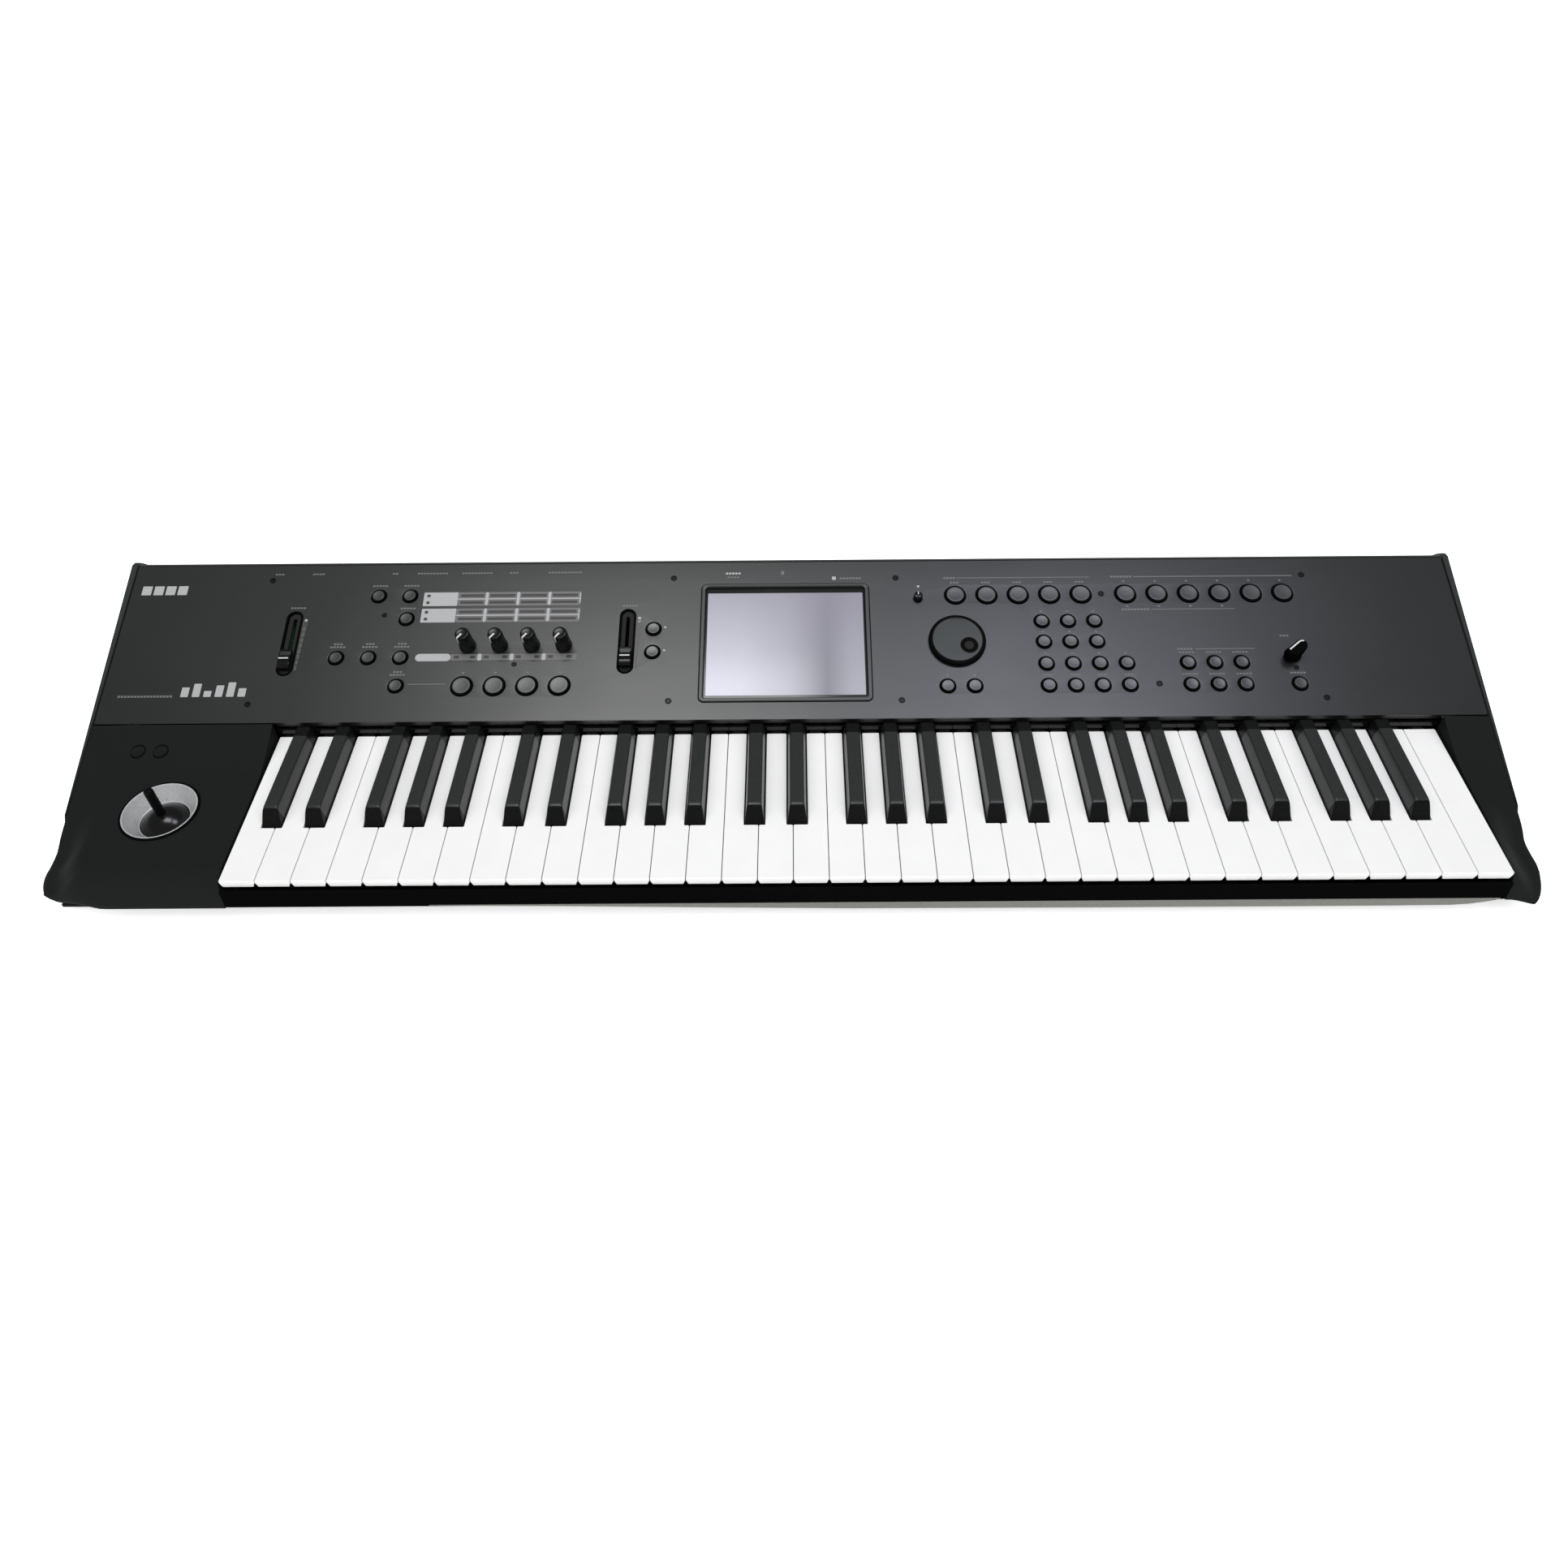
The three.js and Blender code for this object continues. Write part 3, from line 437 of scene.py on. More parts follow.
COOL = (0.97, 1.03, 0.99)
GREENISH = (0.93, 1.06, 0.98)
OLIVE = (1.03, 1.02, 0.93)
PANEL_PAINT = moulded("panel_paint", grey(0.009, COOL), grey(0.017, COOL), grain=2600, rough=(0.34, 0.38),
                      relief=0.012, metallic=0.3, specular=1.0)
SHELL = moulded("shell_plastic", grey(0.009, GREENISH), grey(0.013, GREENISH), grain=1500, rough=(0.6, 0.7),
                relief=0.03, specular=0.02)
# A lighter copy of the shell plastic for the cheeks and the rear shell: painted light on the sides and the rear.
FLANK = moulded("flank_plastic", grey(0.02, GREENISH), grey(0.028, GREENISH), grain=1500, rough=(0.5, 0.6),
                relief=0.03, specular=0.2)
GLOSS = moulded("gloss_black", grey(0.002), grey(0.004), grain=300, rough=(0.1, 0.16), relief=0.004,
                specular=0.3)
KNOB_BLACK = moulded("knob_black", grey(0.002), grey(0.005), grain=700, rough=(0.2, 0.28), relief=0.008,
                     specular=0.3)
RAIL = moulded("rail_black", grey(0.0016), grey(0.003), rough=(0.45, 0.55), specular=0.0)
# An olive strip under the front rail: partly the case's lower lip and partly painted shadow.
RAIL_LIP_AND_SHADOW = moulded("rail_lip_and_shadow", grey(0.13, OLIVE), grey(0.18, OLIVE), rough=(0.5, 0.6), specular=0.1)
KEY_WHITE = moulded("key_white", (0.725, 0.722, 0.706), (0.755, 0.752, 0.738), grain=60, rough=(0.2, 0.28),
                    relief=0.004, cloud=5, specular=0.4)
KEY_BLACK = moulded("key_black", grey(0.014, COOL), grey(0.022, COOL), grain=500, rough=(0.28, 0.36),
                    specular=0.35)
# A darker, more matt copy of the black keys' plastic: painted shade on the sharps' sloping fronts and on their
# ends under the panel.
KEY_BLACK_SHADED = moulded("key_black_painted_shade", grey(0.003, COOL), grey(0.006, COOL), grain=500, rough=(0.32, 0.4),
                   specular=0.12)
# Black plastic. On the buttons' rims it also stands for painted shade in the gap round each cap.
BLACK_AND_RIM_SHADE = moulded("black_and_rim_shade", grey(0.002), grey(0.004), specular=0.01)
BUTTON_FACE = moulded("button_face", grey(0.022, COOL), grey(0.038, COOL), grain=1200, rough=(0.3, 0.36),
                      metallic=0.3, specular=1.0)
SLOT_FLOOR = moulded("slot_floor", grey(0.012), grey(0.02), rough=(0.5, 0.6), specular=0.05)
DIAL_TOP = moulded("dial_top", grey(0.016, GREENISH), grey(0.025, GREENISH), grain=1200, rough=(0.36, 0.42),
                   metallic=0.1, specular=0.4)
BEZEL = moulded("bezel_paint", grey(0.03, COOL), grey(0.045, COOL), grain=1500, rough=(0.3, 0.36),
                relief=0.008, metallic=0.4)
# Black glass round the screen: partly its mask and partly painted shade in the recess under the bezel.
MASK_AND_RECESS_SHADE = moulded("screen_mask_and_recess_shade", grey(0.003), grey(0.005), grain=200, rough=(0.12, 0.16), relief=0.001)
# A lighter grey on the rear shell's top edge: painted highlight along the panel's rear.
REAR_RIM_HIGHLIGHT = moulded("rear_rim_highlight", grey(0.045, COOL), grey(0.06, COOL), grain=1500, rough=(0.45, 0.55),
                   specular=0.2)
INK = moulded("pale_ink", grey(0.27), grey(0.35), grain=3000, rough=(0.45, 0.55), relief=0.005)
INK_GREY = moulded("grey_ink", grey(0.09), grey(0.12), grain=3000, rough=(0.45, 0.55), relief=0.005)
INK_FAINT = moulded("faint_ink", grey(0.045), grey(0.065), grain=3000, rough=(0.45, 0.55), relief=0.005)
INK_DARK = moulded("dark_ink", grey(0.02), grey(0.035), grain=3000, rough=(0.45, 0.55), relief=0.005)
POINTER = moulded("pointer_white", grey(0.42), grey(0.55), grain=2000, rough=(0.35, 0.45), relief=0.004)
STICK_LOOK = moulded("stick_plastic", grey(0.001), grey(0.003), rough=(0.35, 0.45), relief=0.012,
                     specular=0.08)
BALL_LOOK = moulded("ball_plastic", grey(0.0025), grey(0.005), rough=(0.16, 0.2), relief=0.008,
                    specular=0.4)
# Dark plastic of the keys' arms and rails, also used for painted shade on the naturals' cut lower edges.
KEY_ARM_AND_GAP_SHADE = moulded("key_arm_and_gap_shade", grey(0.01), grey(0.016), grain=200, specular=0.2)
RUBBER = moulded("foot_rubber", grey(0.01), grey(0.018), grain=1800, rough=(0.75, 0.9), relief=0.06,
                 specular=0.3)
SCREW = moulded("screw_black", grey(0.006), grey(0.014), grain=1600, rough=(0.25, 0.4), relief=0.02,
                metallic=0.6)
FLOOR = moulded("floor_white", grey(0.93), grey(0.945), grain=40, rough=(0.6, 0.7), relief=0.02, cloud=1)
FLOOR_SHADER = FLOOR.node_tree.nodes["Principled BSDF"]
FLOOR_SHADER.inputs["Emission Color"].default_value = (1, 1, 1, 1)
FLOOR_SHADER.inputs["Emission Strength"].default_value = 0.5


def brushed(name, dark, light, rough, metallic, stretch, grain=700):
    """Metal with fine marks drawn out one way."""
    look = Look(name, metallic=metallic)
    marks = look.noise(grain, 5, stretch)
    patches = look.noise(30, 2)
    look.colour(look.ramp(marks, [(0.25, dark), (0.75, light)]))
    look.rough(patches, *rough)
    look.bump(marks, 0.4, 0.01)
    return look.material


SILVER = brushed("dish_silver", (0.4, 0.41, 0.41), (0.54, 0.55, 0.55), (0.4, 0.5), 0.35, (1, 1, 1))
STEEL = brushed("plated_steel", (0.42, 0.42, 0.41), (0.55, 0.55, 0.54), (0.3, 0.42), 0.9, (0.05, 1, 1))
NICKEL = brushed("nickel", (0.5, 0.49, 0.46), (0.68, 0.67, 0.64), (0.2, 0.32), 1.0, (1, 1, 1))


def board_look():
    """Green solder mask, with paler tracks in a square pattern."""
    look = Look("circuit_board", specular=0.5, coat=0.3)
    tracks = look.nodes.new("ShaderNodeTexBrick")
    tracks.inputs["Scale"].default_value = 90
    tracks.inputs["Color1"].default_value = (0.012, 0.075, 0.03, 1)
    tracks.inputs["Color2"].default_value = (0.016, 0.09, 0.036, 1)
    tracks.inputs["Mortar"].default_value = (0.03, 0.15, 0.06, 1)
    tracks.inputs["Mortar Size"].default_value = 0.03
    look.links.new(look.coordinates.outputs["Object"], tracks.inputs["Vector"])
    grime = look.noise(120, 4)
    dull = look.ramp(grime, [(0.3, (0.01, 0.06, 0.025)), (0.7, (0.02, 0.1, 0.04))])
    look.colour(look.blend(grime, tracks.outputs["Color"], dull))
    look.rough(grime, 0.35, 0.55)
    look.bump(grime, 0.3, 0.02)
    return look.material


BOARD = board_look()


# ---------------------------------------------------------------- panel layout, from the CAD
SMALL_R = 5.6
LARGE_R = 7.9
BUTTON_AIR = 0.5
SMALL_NODES = ["function_buttons", "number_buttons", "sequencer_buttons", "dial_buttons",
               "increment_button", "decrement_button", "tap_button"]
LARGE_NODES = ["pad_1", "pad_2", "pad_3", "pad_4", "mode_buttons", "bank_buttons"]
PLACES = {node: tops(node) for node in SMALL_NODES + LARGE_NODES}
KNOBS = [joint_place(f"realtime_knob_{i}_turn") for i in range(1, 5)]
TEMPO = joint_place("tempo_turn")
CONTRAST = joint_place("contrast_turn")
DIAL = joint_place("dial_turn")
SHEET_LOW, SHEET_HIGH = extent("top_panel", PANEL)
BEZEL_LOW, BEZEL_HIGH = extent("display_bezel", PANEL)
SLOT_HALF = 5.6
SLIDER_AIR = 0.2
SLIDERS = {}
for slider in ("volume", "value"):
    cap_low, cap_high = extent(f"{slider}_slider_cap", PANEL)
    travel = [1000 * end for end in JOINTS[f"{slider}_slide"]["range_m"]]
    SLIDERS[slider] = {
        "x": (cap_low.x + cap_high.x) / 2,
        "s": (cap_low.y + cap_high.y) / 2,
        "half": (cap_high.x - cap_low.x) / 2,
        "low": cap_low.y + travel[0] - SLIDER_AIR,
        "high": cap_high.y + travel[1] + SLIDER_AIR,
        "travel": travel,
    }


def bezel_outline(inset, corner):
    return rectangle(BEZEL_LOW.x + inset, BEZEL_HIGH.x - inset,
                     BEZEL_LOW.y + inset, BEZEL_HIGH.y - inset, corner, 6)


def slot_outline(slider, half, low, high):
    return rectangle(slider["x"] - half, slider["x"] + half, low, high, half - 0.05, 10)


# ---------------------------------------------------------------- the sheet-metal panel
SHEET_THICK = 2
LIP_DEPTH = 6.5                        # of the sheet's bent front edge, over the keys
KNOB_HOLE_R = 3.5
DIAL_HOLE_R = 5


def make_panel():
    holes = []
    for nodes, radius in ((SMALL_NODES, SMALL_R), (LARGE_NODES, LARGE_R)):
        for node in nodes:
            holes += [circle(x, s, radius + BUTTON_AIR) for x, s in PLACES[node]]
    holes += [circle(x, s, KNOB_HOLE_R, 20) for x, s in [*KNOBS, TEMPO, CONTRAST]]
    holes.append(circle(*DIAL, DIAL_HOLE_R))
    for slider in SLIDERS.values():
        holes.append(slot_outline(slider, SLOT_HALF, slider["low"], slider["high"]))
    holes.append(bezel_outline(-0.3, 4.3))
    outer = rectangle(SHEET_LOW.x, SHEET_HIGH.x, SHEET_LOW.y, SHEET_HIGH.y, 1.6, 5)
    form = Form()
    form.plate(outer, holes, [(0, -SHEET_THICK), (0, -0.5), (0.15, -0.15), (0.5, 0)])
    front, back = SHEET_LOW.y, SHEET_LOW.y + SHEET_THICK
    lip = rounded([(front, -1.6), (front, -LIP_DEPTH), (back, -LIP_DEPTH), (back, -1.6)], [0, 0.8, 0.8, 0])
    keys_low, keys_high = extent("front_rail")
    form.plate(lip, [], [(0, keys_low.x + 1), (0, keys_high.x - 1)], place=ALONG_X)
    piece("panel_sheet", form, [PANEL_PAINT], replaces=["top_panel"], place=PANEL)


SCREW_PLACES = [(-399, 123), (-89, 122.6), (-89, 16), (82, 121.4), (82, 15.3), (238.5, 105.7), (272, 27.5),
                (394.5, 121.6), (392.4, 15), (-308, 91), (-205, 47.6), (-397, 15.6), (375, 40.2)]
SMALL_SCREWS = (9, 10, 12)             # the ones between the controls


def add_screw(form, place, radius=2.3, height=0.5):
    """A low domed head with a cross cut into it."""
    arm = radius * 0.6
    slot = radius * 0.17
    cross = [(slot, -arm), (slot, -slot), (arm, -slot), (arm, slot), (slot, slot), (slot, arm),
             (-slot, arm), (-slot, slot), (-arm, slot), (-arm, -slot), (-slot, -slot), (-slot, -arm)]
    rim = circle(0, 0, radius, 24)
    form.plate(rim, [[Vector(p) for p in cross]],
               [(0, -0.2), (0, height * 0.3), (radius * 0.12, height * 0.7), (radius * 0.17, height)],
               place=place)
    form.plate(circle(0, 0, radius * 0.75, 16), [], [(0, -0.2), (0, height * 0.2)], place=place)


def make_panel_screws():
    form = Form()
    for i, (x, s) in enumerate(SCREW_PLACES):
        turn = Matrix.Rotation(0.7 * i, 4, "Z")
        add_screw(form, at(x, s, 0.05) @ turn, radius=2.0 if i in SMALL_SCREWS else 2.4)
    piece("panel_screws", form, [SCREW], place=PANEL)


# ---------------------------------------------------------------- buttons
BUTTON_RIM = {SMALL_R: 1.25, LARGE_R: 1.4}         # of black, around the lighter face: partly the cap's dark side and partly painted shade in the gap round it


def add_button(form, x, s, radius):
    """A black cap with a dished, lighter face, its black rim partly the cap's dark side and partly painted shade
    round it, and the wide foot that holds it under the panel.
    """
    face = radius - BUTTON_RIM[radius]
    foot = radius + 1.4
    place = at(x, s)
    form.ring([(foot, -6), (foot, -4.6), (radius, -4.4), (radius, 0.7), (radius - 0.12, 1.15),
               (radius - 0.45, 1.45), (radius - 0.8, 1.5), (face, 1.4), (face - 0.1, 1.2), (face - 0.1, -6)],
              sides=40, kind=0, place=place)
    form.turned([(face - 0.05, -5.8), (face - 0.05, 1.28), (face - 0.3, 1.36), (face * 0.75, 1.28),
                 (face * 0.45, 1.2), (face * 0.15, 1.18)], sides=40, kind=1, place=place)


def make_buttons():
    for nodes, radius in ((SMALL_NODES, SMALL_R), (LARGE_NODES, LARGE_R)):
        for node in nodes:
            form = Form()
            places = PLACES[node]
            for x, s in places:
                add_button(form, x, s, radius)
            name = f"{node}_caps" if len(places) > 1 else f"{node}_cap"
            piece(name, form, [BLACK_AND_RIM_SHADE, BUTTON_FACE], body=node, replaces=[node],
                  place=PANEL)


# ---------------------------------------------------------------- knobs and the dial
FLUTES = 14
POINTER_TURN = math.radians(143)       # anticlockwise from up the slope


def fluted(radius, height, depth, sides=98):
    ring = []
    for i in range(sides):
        angle = 2 * math.pi * i / sides
        wave = max(0.0, math.cos(FLUTES * angle)) ** 2
        r = radius - depth * wave
        ring.append(Vector((r * math.cos(angle), r * math.sin(angle), height)))
    return ring


def make_realtime_knobs():
    for i, (x, s) in enumerate(KNOBS, start=1):
        place = at(x, s)
        form = Form()
        form.turned([(3, -7), (3, 0.9)], 20, place=place)
        form.skin([fluted(5.9, 0.5, 0), fluted(6.2, 0.8, 0), fluted(6.2, 2.2, 0), fluted(6.0, 2.8, 0.1),
                   fluted(5.75, 4.2, 0.42), fluted(5.5, 16.4, 0.42), fluted(5.35, 17.6, 0.3),
                   fluted(5.1, 18.5, 0.08), fluted(4.6, 18.95, 0), fluted(4.1, 19, 0),
                   fluted(3.8, 18.75, 0), fluted(1.2, 18.6, 0)], place=place)
        turn = place @ Matrix.Rotation(POINTER_TURN, 4, "Z")
        form.ribbon([((0, 0.4, 18.62), (0, 0, 1)), ((0, 3.7, 18.8), (0, 0, 1)),
                     ((0, 4.6, 19.0), (0, 0.3, 1)), ((0, 5.2, 18.5), (0, 1, 1)),
                     ((0, 5.45, 17.4), (0, 1, 0.2)), ((0, 5.6, 12.5), (0, 1, 0.1))],
                    1.3, 0.12, kind=1, place=turn)
        piece(f"knob_{i}_body", form, [KNOB_BLACK, POINTER], body=f"realtime_knob_{i}",
              replaces=[f"realtime_knob_{i}"], place=PANEL)


def make_contrast_knob():
    place = at(*CONTRAST)
    form = Form()
    form.turned([(2.4, -7), (2.4, 0.9)], 20, place=place)
    form.skin([fluted(3.5, 0.5, 0), fluted(3.6, 0.9, 0.12), fluted(3.3, 4.0, 0.12), fluted(3.1, 4.6, 0.05),
               fluted(2.6, 4.95, 0), fluted(0.8, 5.0, 0)], place=place)
    form.ribbon([((0, 0.5, 5.0), (0, 0, 1)), ((0, 2.6, 4.95), (0, 0.2, 1)), ((0, 3.2, 4.4), (0, 1, 1))],
                0.7, 0.08, kind=1, place=place)
    piece("contrast_knob_body", form, [KNOB_BLACK, POINTER], body="contrast_knob",
          replaces=["contrast_knob"], place=PANEL)


BAR_TURN = math.radians(51)            # the finger bar points up and to the right


def make_tempo_knob():
    place = at(*TEMPO)
    form = Form()
    form.turned([(3, -7), (3, 0.9)], 20, place=place)
    form.turned([(5.9, 0.5), (6.2, 0.8), (6.1, 1.4), (5.8, 2.6), (5.5, 2.9), (4, 3.0)], 64, place=place)
    rings = []
    for height, width, length in [(2.5, 4.6, 8.8), (7, 4.6, 8.8), (10.2, 4.5, 8.7), (11.6, 4.2, 8.4),
                                  (12.3, 3.8, 8.0), (12.5, 3.2, 7.4)]:
        ring = rectangle(-width, width, -length, length, width - 0.05, 6)
        rings.append([Vector((p.x, p.y, height)) for p in ring])
    turn = place @ Matrix.Rotation(-BAR_TURN, 4, "Z")
    form.skin(rings, place=turn)
    form.ribbon([((-2.7, -6.4, 12.46), (0, 0, 1)), ((-2.7, 4.4, 12.46), (0, 0, 1)),
                 ((-2.2, 5.9, 12.46), (0, 0, 1)), ((-1.0, 7.2, 12.4), (0, 0.2, 1))],
                1.1, 0.14, kind=1, place=turn)
    piece("tempo_knob_body", form, [RAIL, POINTER], body="tempo_knob",
          replaces=["tempo_knob"], place=PANEL)


DIMPLE = (8.4, -5.2)                   # from the dial's middle
DIMPLE_R = 5.9


def make_dial():
    place = at(*DIAL)
    form = Form()
    form.turned([(4, -7), (4, 0.9)], 24, place=place)
    form.ring([(3, 0.6), (21.2, 0.6), (21.5, 0.9), (21.5, 1.8), (21.3, 2.9), (20.8, 3.7), (20.1, 4.15),
               (19.6, 4.2), (19.0, 4.1), (18.8, 3.8), (18.8, 3.0), (3, 3.0)], 96, place=place)
    hole = circle(*DIMPLE, DIMPLE_R + 0.5, 40)
    form.plate(circle(0, 0, 18.75, 96), [hole], [(0, 3.05), (0, 3.8), (0.25, 4.0), (0.7, 4.1)], kind=1,
               place=place)
    dimple = place @ at(*DIMPLE)
    form.ring([(DIMPLE_R + 0.45, 3.1), (DIMPLE_R + 0.45, 4.1), (DIMPLE_R + 0.1, 4.25), (DIMPLE_R - 0.9, 4.15),
               (DIMPLE_R - 1.7, 3.8), (DIMPLE_R - 2.4, 3.5), (DIMPLE_R - 2.4, 3.1)], 48, place=dimple)
    form.turned([(DIMPLE_R - 2.38, 3.1), (DIMPLE_R - 2.38, 3.5), (2.4, 3.4), (0.8, 3.35)], 48, kind=2,
                place=dimple)
    piece("dial_body", form, [BLACK_AND_RIM_SHADE, DIAL_TOP, SLOT_FLOOR], body="value_dial",
          replaces=["value_dial"], place=PANEL)


# ---------------------------------------------------------------- sliders
STEM_HALF = 1.2
STEM_REACH = 2.5


def make_slot(name, slider):
    """The raised rim of a slider's slot, its floor with the slit for the stem, and a dark well below, painted
    shade seen through the slit.
    """
    liner = Form()
    outer = slot_outline(slider, SLOT_HALF - 0.1, slider["low"] + 0.1, slider["high"] - 0.1)
    first, last = [slider["s"] + end for end in slider["travel"]]
    slit = slot_outline(slider, STEM_HALF + 0.15, first - STEM_REACH - 0.6, last + STEM_REACH + 0.6)
    rim = slot_outline(slider, SLOT_HALF - 0.9, slider["low"] + 0.9, slider["high"] - 0.9)
    liner.plate(outer, [rim], [(0, -3), (0, 0.1)], kind=0)
    flange = slot_outline(slider, SLOT_HALF + 0.7, slider["low"] - 0.7, slider["high"] + 0.7)
    liner.plate(flange, [rim], [(0, 0.02), (0, 0.2), (0.15, 0.35), (0.4, 0.4)], kind=0)
    liner.plate(rim, [slit], [(0, -3.2), (0, -1.6), (0.2, -1.4)], kind=1)
    # A black plate under the slit: painted shade seen through it.
    well = slot_outline(slider, STEM_HALF + 1.4, slider["low"] + 4, slider["high"] - 4)
    liner.plate(well, [], [(0, -9.6), (0, -8.6)], kind=0)
    piece(f"{name}_slot_liner", liner, [RAIL, SLOT_FLOOR], place=PANEL)


def make_cap(name, slider):
    """The sliding cap, waisted on both sides of its ridge, with its white line and its stem."""
    cap = Form()
    side = [(-8.2, 1), (-7.95, 4.2), (-7.4, 4.6), (-6.4, 4.35), (-4.6, 4.05), (-2.6, 4.2), (-1.5, 4.75),
            (-0.8, 5.3), (0, 5.4), (0.8, 5.3), (1.5, 4.75), (2.6, 4.2), (4.6, 4.05), (6.4, 4.35),
            (7.4, 4.6), (7.95, 4.2), (8.2, 1)]
    outline = [Vector((slider["s"] + along, height)) for along, height in reversed(side)]
    x0 = slider["x"] - slider["half"]
    x1 = slider["x"] + slider["half"]
    cap.plate(outline, [], soft_ends(x0, x1, 0.12, 0.45), place=ALONG_X)
    cap.block((slider["x"] - STEM_HALF, slider["s"] - STEM_REACH, -7),
              (slider["x"] + STEM_HALF, slider["s"] + STEM_REACH, 1.2), 0.2)
    centre = Vector((slider["x"], slider["s"], 0))
    cap.block(centre + Vector((-3.7, -0.5, 5.2)), centre + Vector((3.7, 0.5, 5.48)), 0.1, kind=1)
    cap.block(centre + Vector((-3.6, 2.9, 3.6)), centre + Vector((3.6, 6.4, 4.3)), 0.15, kind=2)
    piece(f"{name}_cap_body", cap, [KNOB_BLACK, POINTER, DIAL_TOP], body=f"{name}_slider_cap",
          replaces=[f"{name}_slider_cap"], place=PANEL)


def make_sliders():
    for name, slider in SLIDERS.items():
        make_slot(name, slider)
        make_cap(name, slider)


# ---------------------------------------------------------------- display
BEZEL_RIM = 3.1
SCREEN_H = -1.6
SCREEN_IN = {"left": 4.8, "right": 4.7, "low": 6.1, "high": 7.3}      # from the bezel's outer edge; the black band inside it is partly the screen's mask and partly painted shade in the recess


def screen_look():
    """A liquid-crystal screen: pale lavender, with painted reflection on it, brighter low on the left, with a
    darker upright band.
    """
    look = Look("screen_face", specular=0.3, coat=0.25, coat_roughness=0.1)
    low_y = 1000 * (PANEL @ Vector((0, BEZEL_LOW.y, 0))).y
    high_y = 1000 * (PANEL @ Vector((0, BEZEL_HIGH.y, 0))).y
    across = look.place("X", BEZEL_LOW.x, BEZEL_HIGH.x)
    up = look.place("Y", low_y, high_y)
    bottom = look.ramp(across, [(0.0, (0.52, 0.52, 0.58)), (0.25, (0.5, 0.5, 0.56)),
                                (0.52, (0.36, 0.36, 0.41)), (0.74, (0.17, 0.17, 0.2)),
                                (0.88, (0.3, 0.3, 0.34)), (1.0, (0.32, 0.32, 0.36))])
    top = look.ramp(across, [(0.0, (0.27, 0.265, 0.31)), (0.5, (0.24, 0.235, 0.275)),
                             (0.76, (0.19, 0.185, 0.22)), (1.0, (0.21, 0.205, 0.24))])
    look.colour(look.blend(up, bottom, top))
    ripple = look.noise(25, 1)
    look.rough(ripple, 0.3, 0.36)
    pixels = look.noise(2400, 1)
    look.bump(pixels, 0.2, 0.004)
    return look.material


def make_display():
    bezel = Form()
    bezel.plate(bezel_outline(0, 4), [bezel_outline(BEZEL_RIM, 2.5)],
                [(0, -3), (0, 0.2), (0.2, 0.6), (0.6, 0.8)])
    piece("display_rim", bezel, [BEZEL], replaces=["display_bezel"], place=PANEL)

    glass = Form()
    inset = BEZEL_RIM + 0.3
    opening = rectangle(BEZEL_LOW.x + SCREEN_IN["left"], BEZEL_HIGH.x - SCREEN_IN["right"],
                        BEZEL_LOW.y + SCREEN_IN["low"], BEZEL_HIGH.y - SCREEN_IN["high"], 0.8, 3)
    glass.plate(bezel_outline(inset, 2.4), [opening],
                [(0, -5), (0, SCREEN_H - 0.15), (0.15, SCREEN_H)], kind=0)
    glass.plate(offset(opening, 0.02), [], [(0, -5), (0, SCREEN_H - 0.3)], kind=1)
    middle = (BEZEL_LOW + BEZEL_HIGH) / 2
    glass.block((middle.x - 58, middle.y - 43, -13), (middle.x + 58, middle.y + 43, -5.02), 0.4, kind=2)
    piece("display_panel", glass, [MASK_AND_RECESS_SHADE, screen_look(), STEEL],
          replaces=["display_module"], place=PANEL)


# ---------------------------------------------------------------- printing on the panel
INK_H = 0.05
BRIGHT, DIM, DARK, FAINT = 0, 1, 2, 3


class Printing:
    """Flat ink on the panel, drawn bar by bar; a higher layer lies over a lower one."""

    def __init__(self):
        self.form = Form()

    def bar(self, x0, x1, s0, s1, kind=BRIGHT, layer=1, corner=0.5):
        radius = min(corner, (x1 - x0) / 2.2, (s1 - s0) / 2.2)
        self.form.plate(rectangle(x0, x1, s0, s1, radius, 3), [], [(0, -0.02), (0, INK_H * layer)], kind)

    def caption(self, x, s, width, kind=DIM, height=1.5):
        """A row of plain dashes where a control is labelled."""
        dash = 1.9
        step = 2.4
        count = max(1, round(width / step))
        left = x - (count * step - (step - dash)) / 2
        for i in range(count):
            self.bar(left + i * step, left + i * step + dash, s - height / 2, s + height / 2, kind)


COLUMNS = (-231.5, -207.5, -183.5)
GROUP_LEFT, GROUP_SOLID, GROUP_RIGHT = -280, -253.8, -159.5


def print_group(ink, s0, s1):
    """A two-row table above the knobs: a solid block, then framed cells."""
    middle = (s0 + s1) / 2
    quarter = (s1 - s0) / 4
    ink.bar(GROUP_LEFT, GROUP_SOLID, s0, s1, BRIGHT, 1)
    ink.bar(GROUP_SOLID + 0.3, GROUP_RIGHT, s0, s1, DIM, 1)
    for row in (middle - quarter, middle + quarter):
        ink.bar(GROUP_LEFT + 2.4, GROUP_LEFT + 5, row - 1.2, row + 1.2, DARK, 2)
        edges = [GROUP_SOLID, *COLUMNS, GROUP_RIGHT]
        for left, right in zip(edges, edges[1:]):
            ink.bar(left + 2.2, right - 2.4, row - 1.25, row + 1.15, DARK, 2)
    ink.bar(GROUP_SOLID, GROUP_RIGHT, middle - 0.45, middle + 0.45, BRIGHT, 2)
    for x in COLUMNS:
        ink.bar(x - 1.1, x + 1.1, s0 + 0.4, s1 - 0.2, BRIGHT, 3)
    ink.bar(GROUP_RIGHT - 0.9, GROUP_RIGHT, s0 + 2, s1 - 1, BRIGHT, 3)


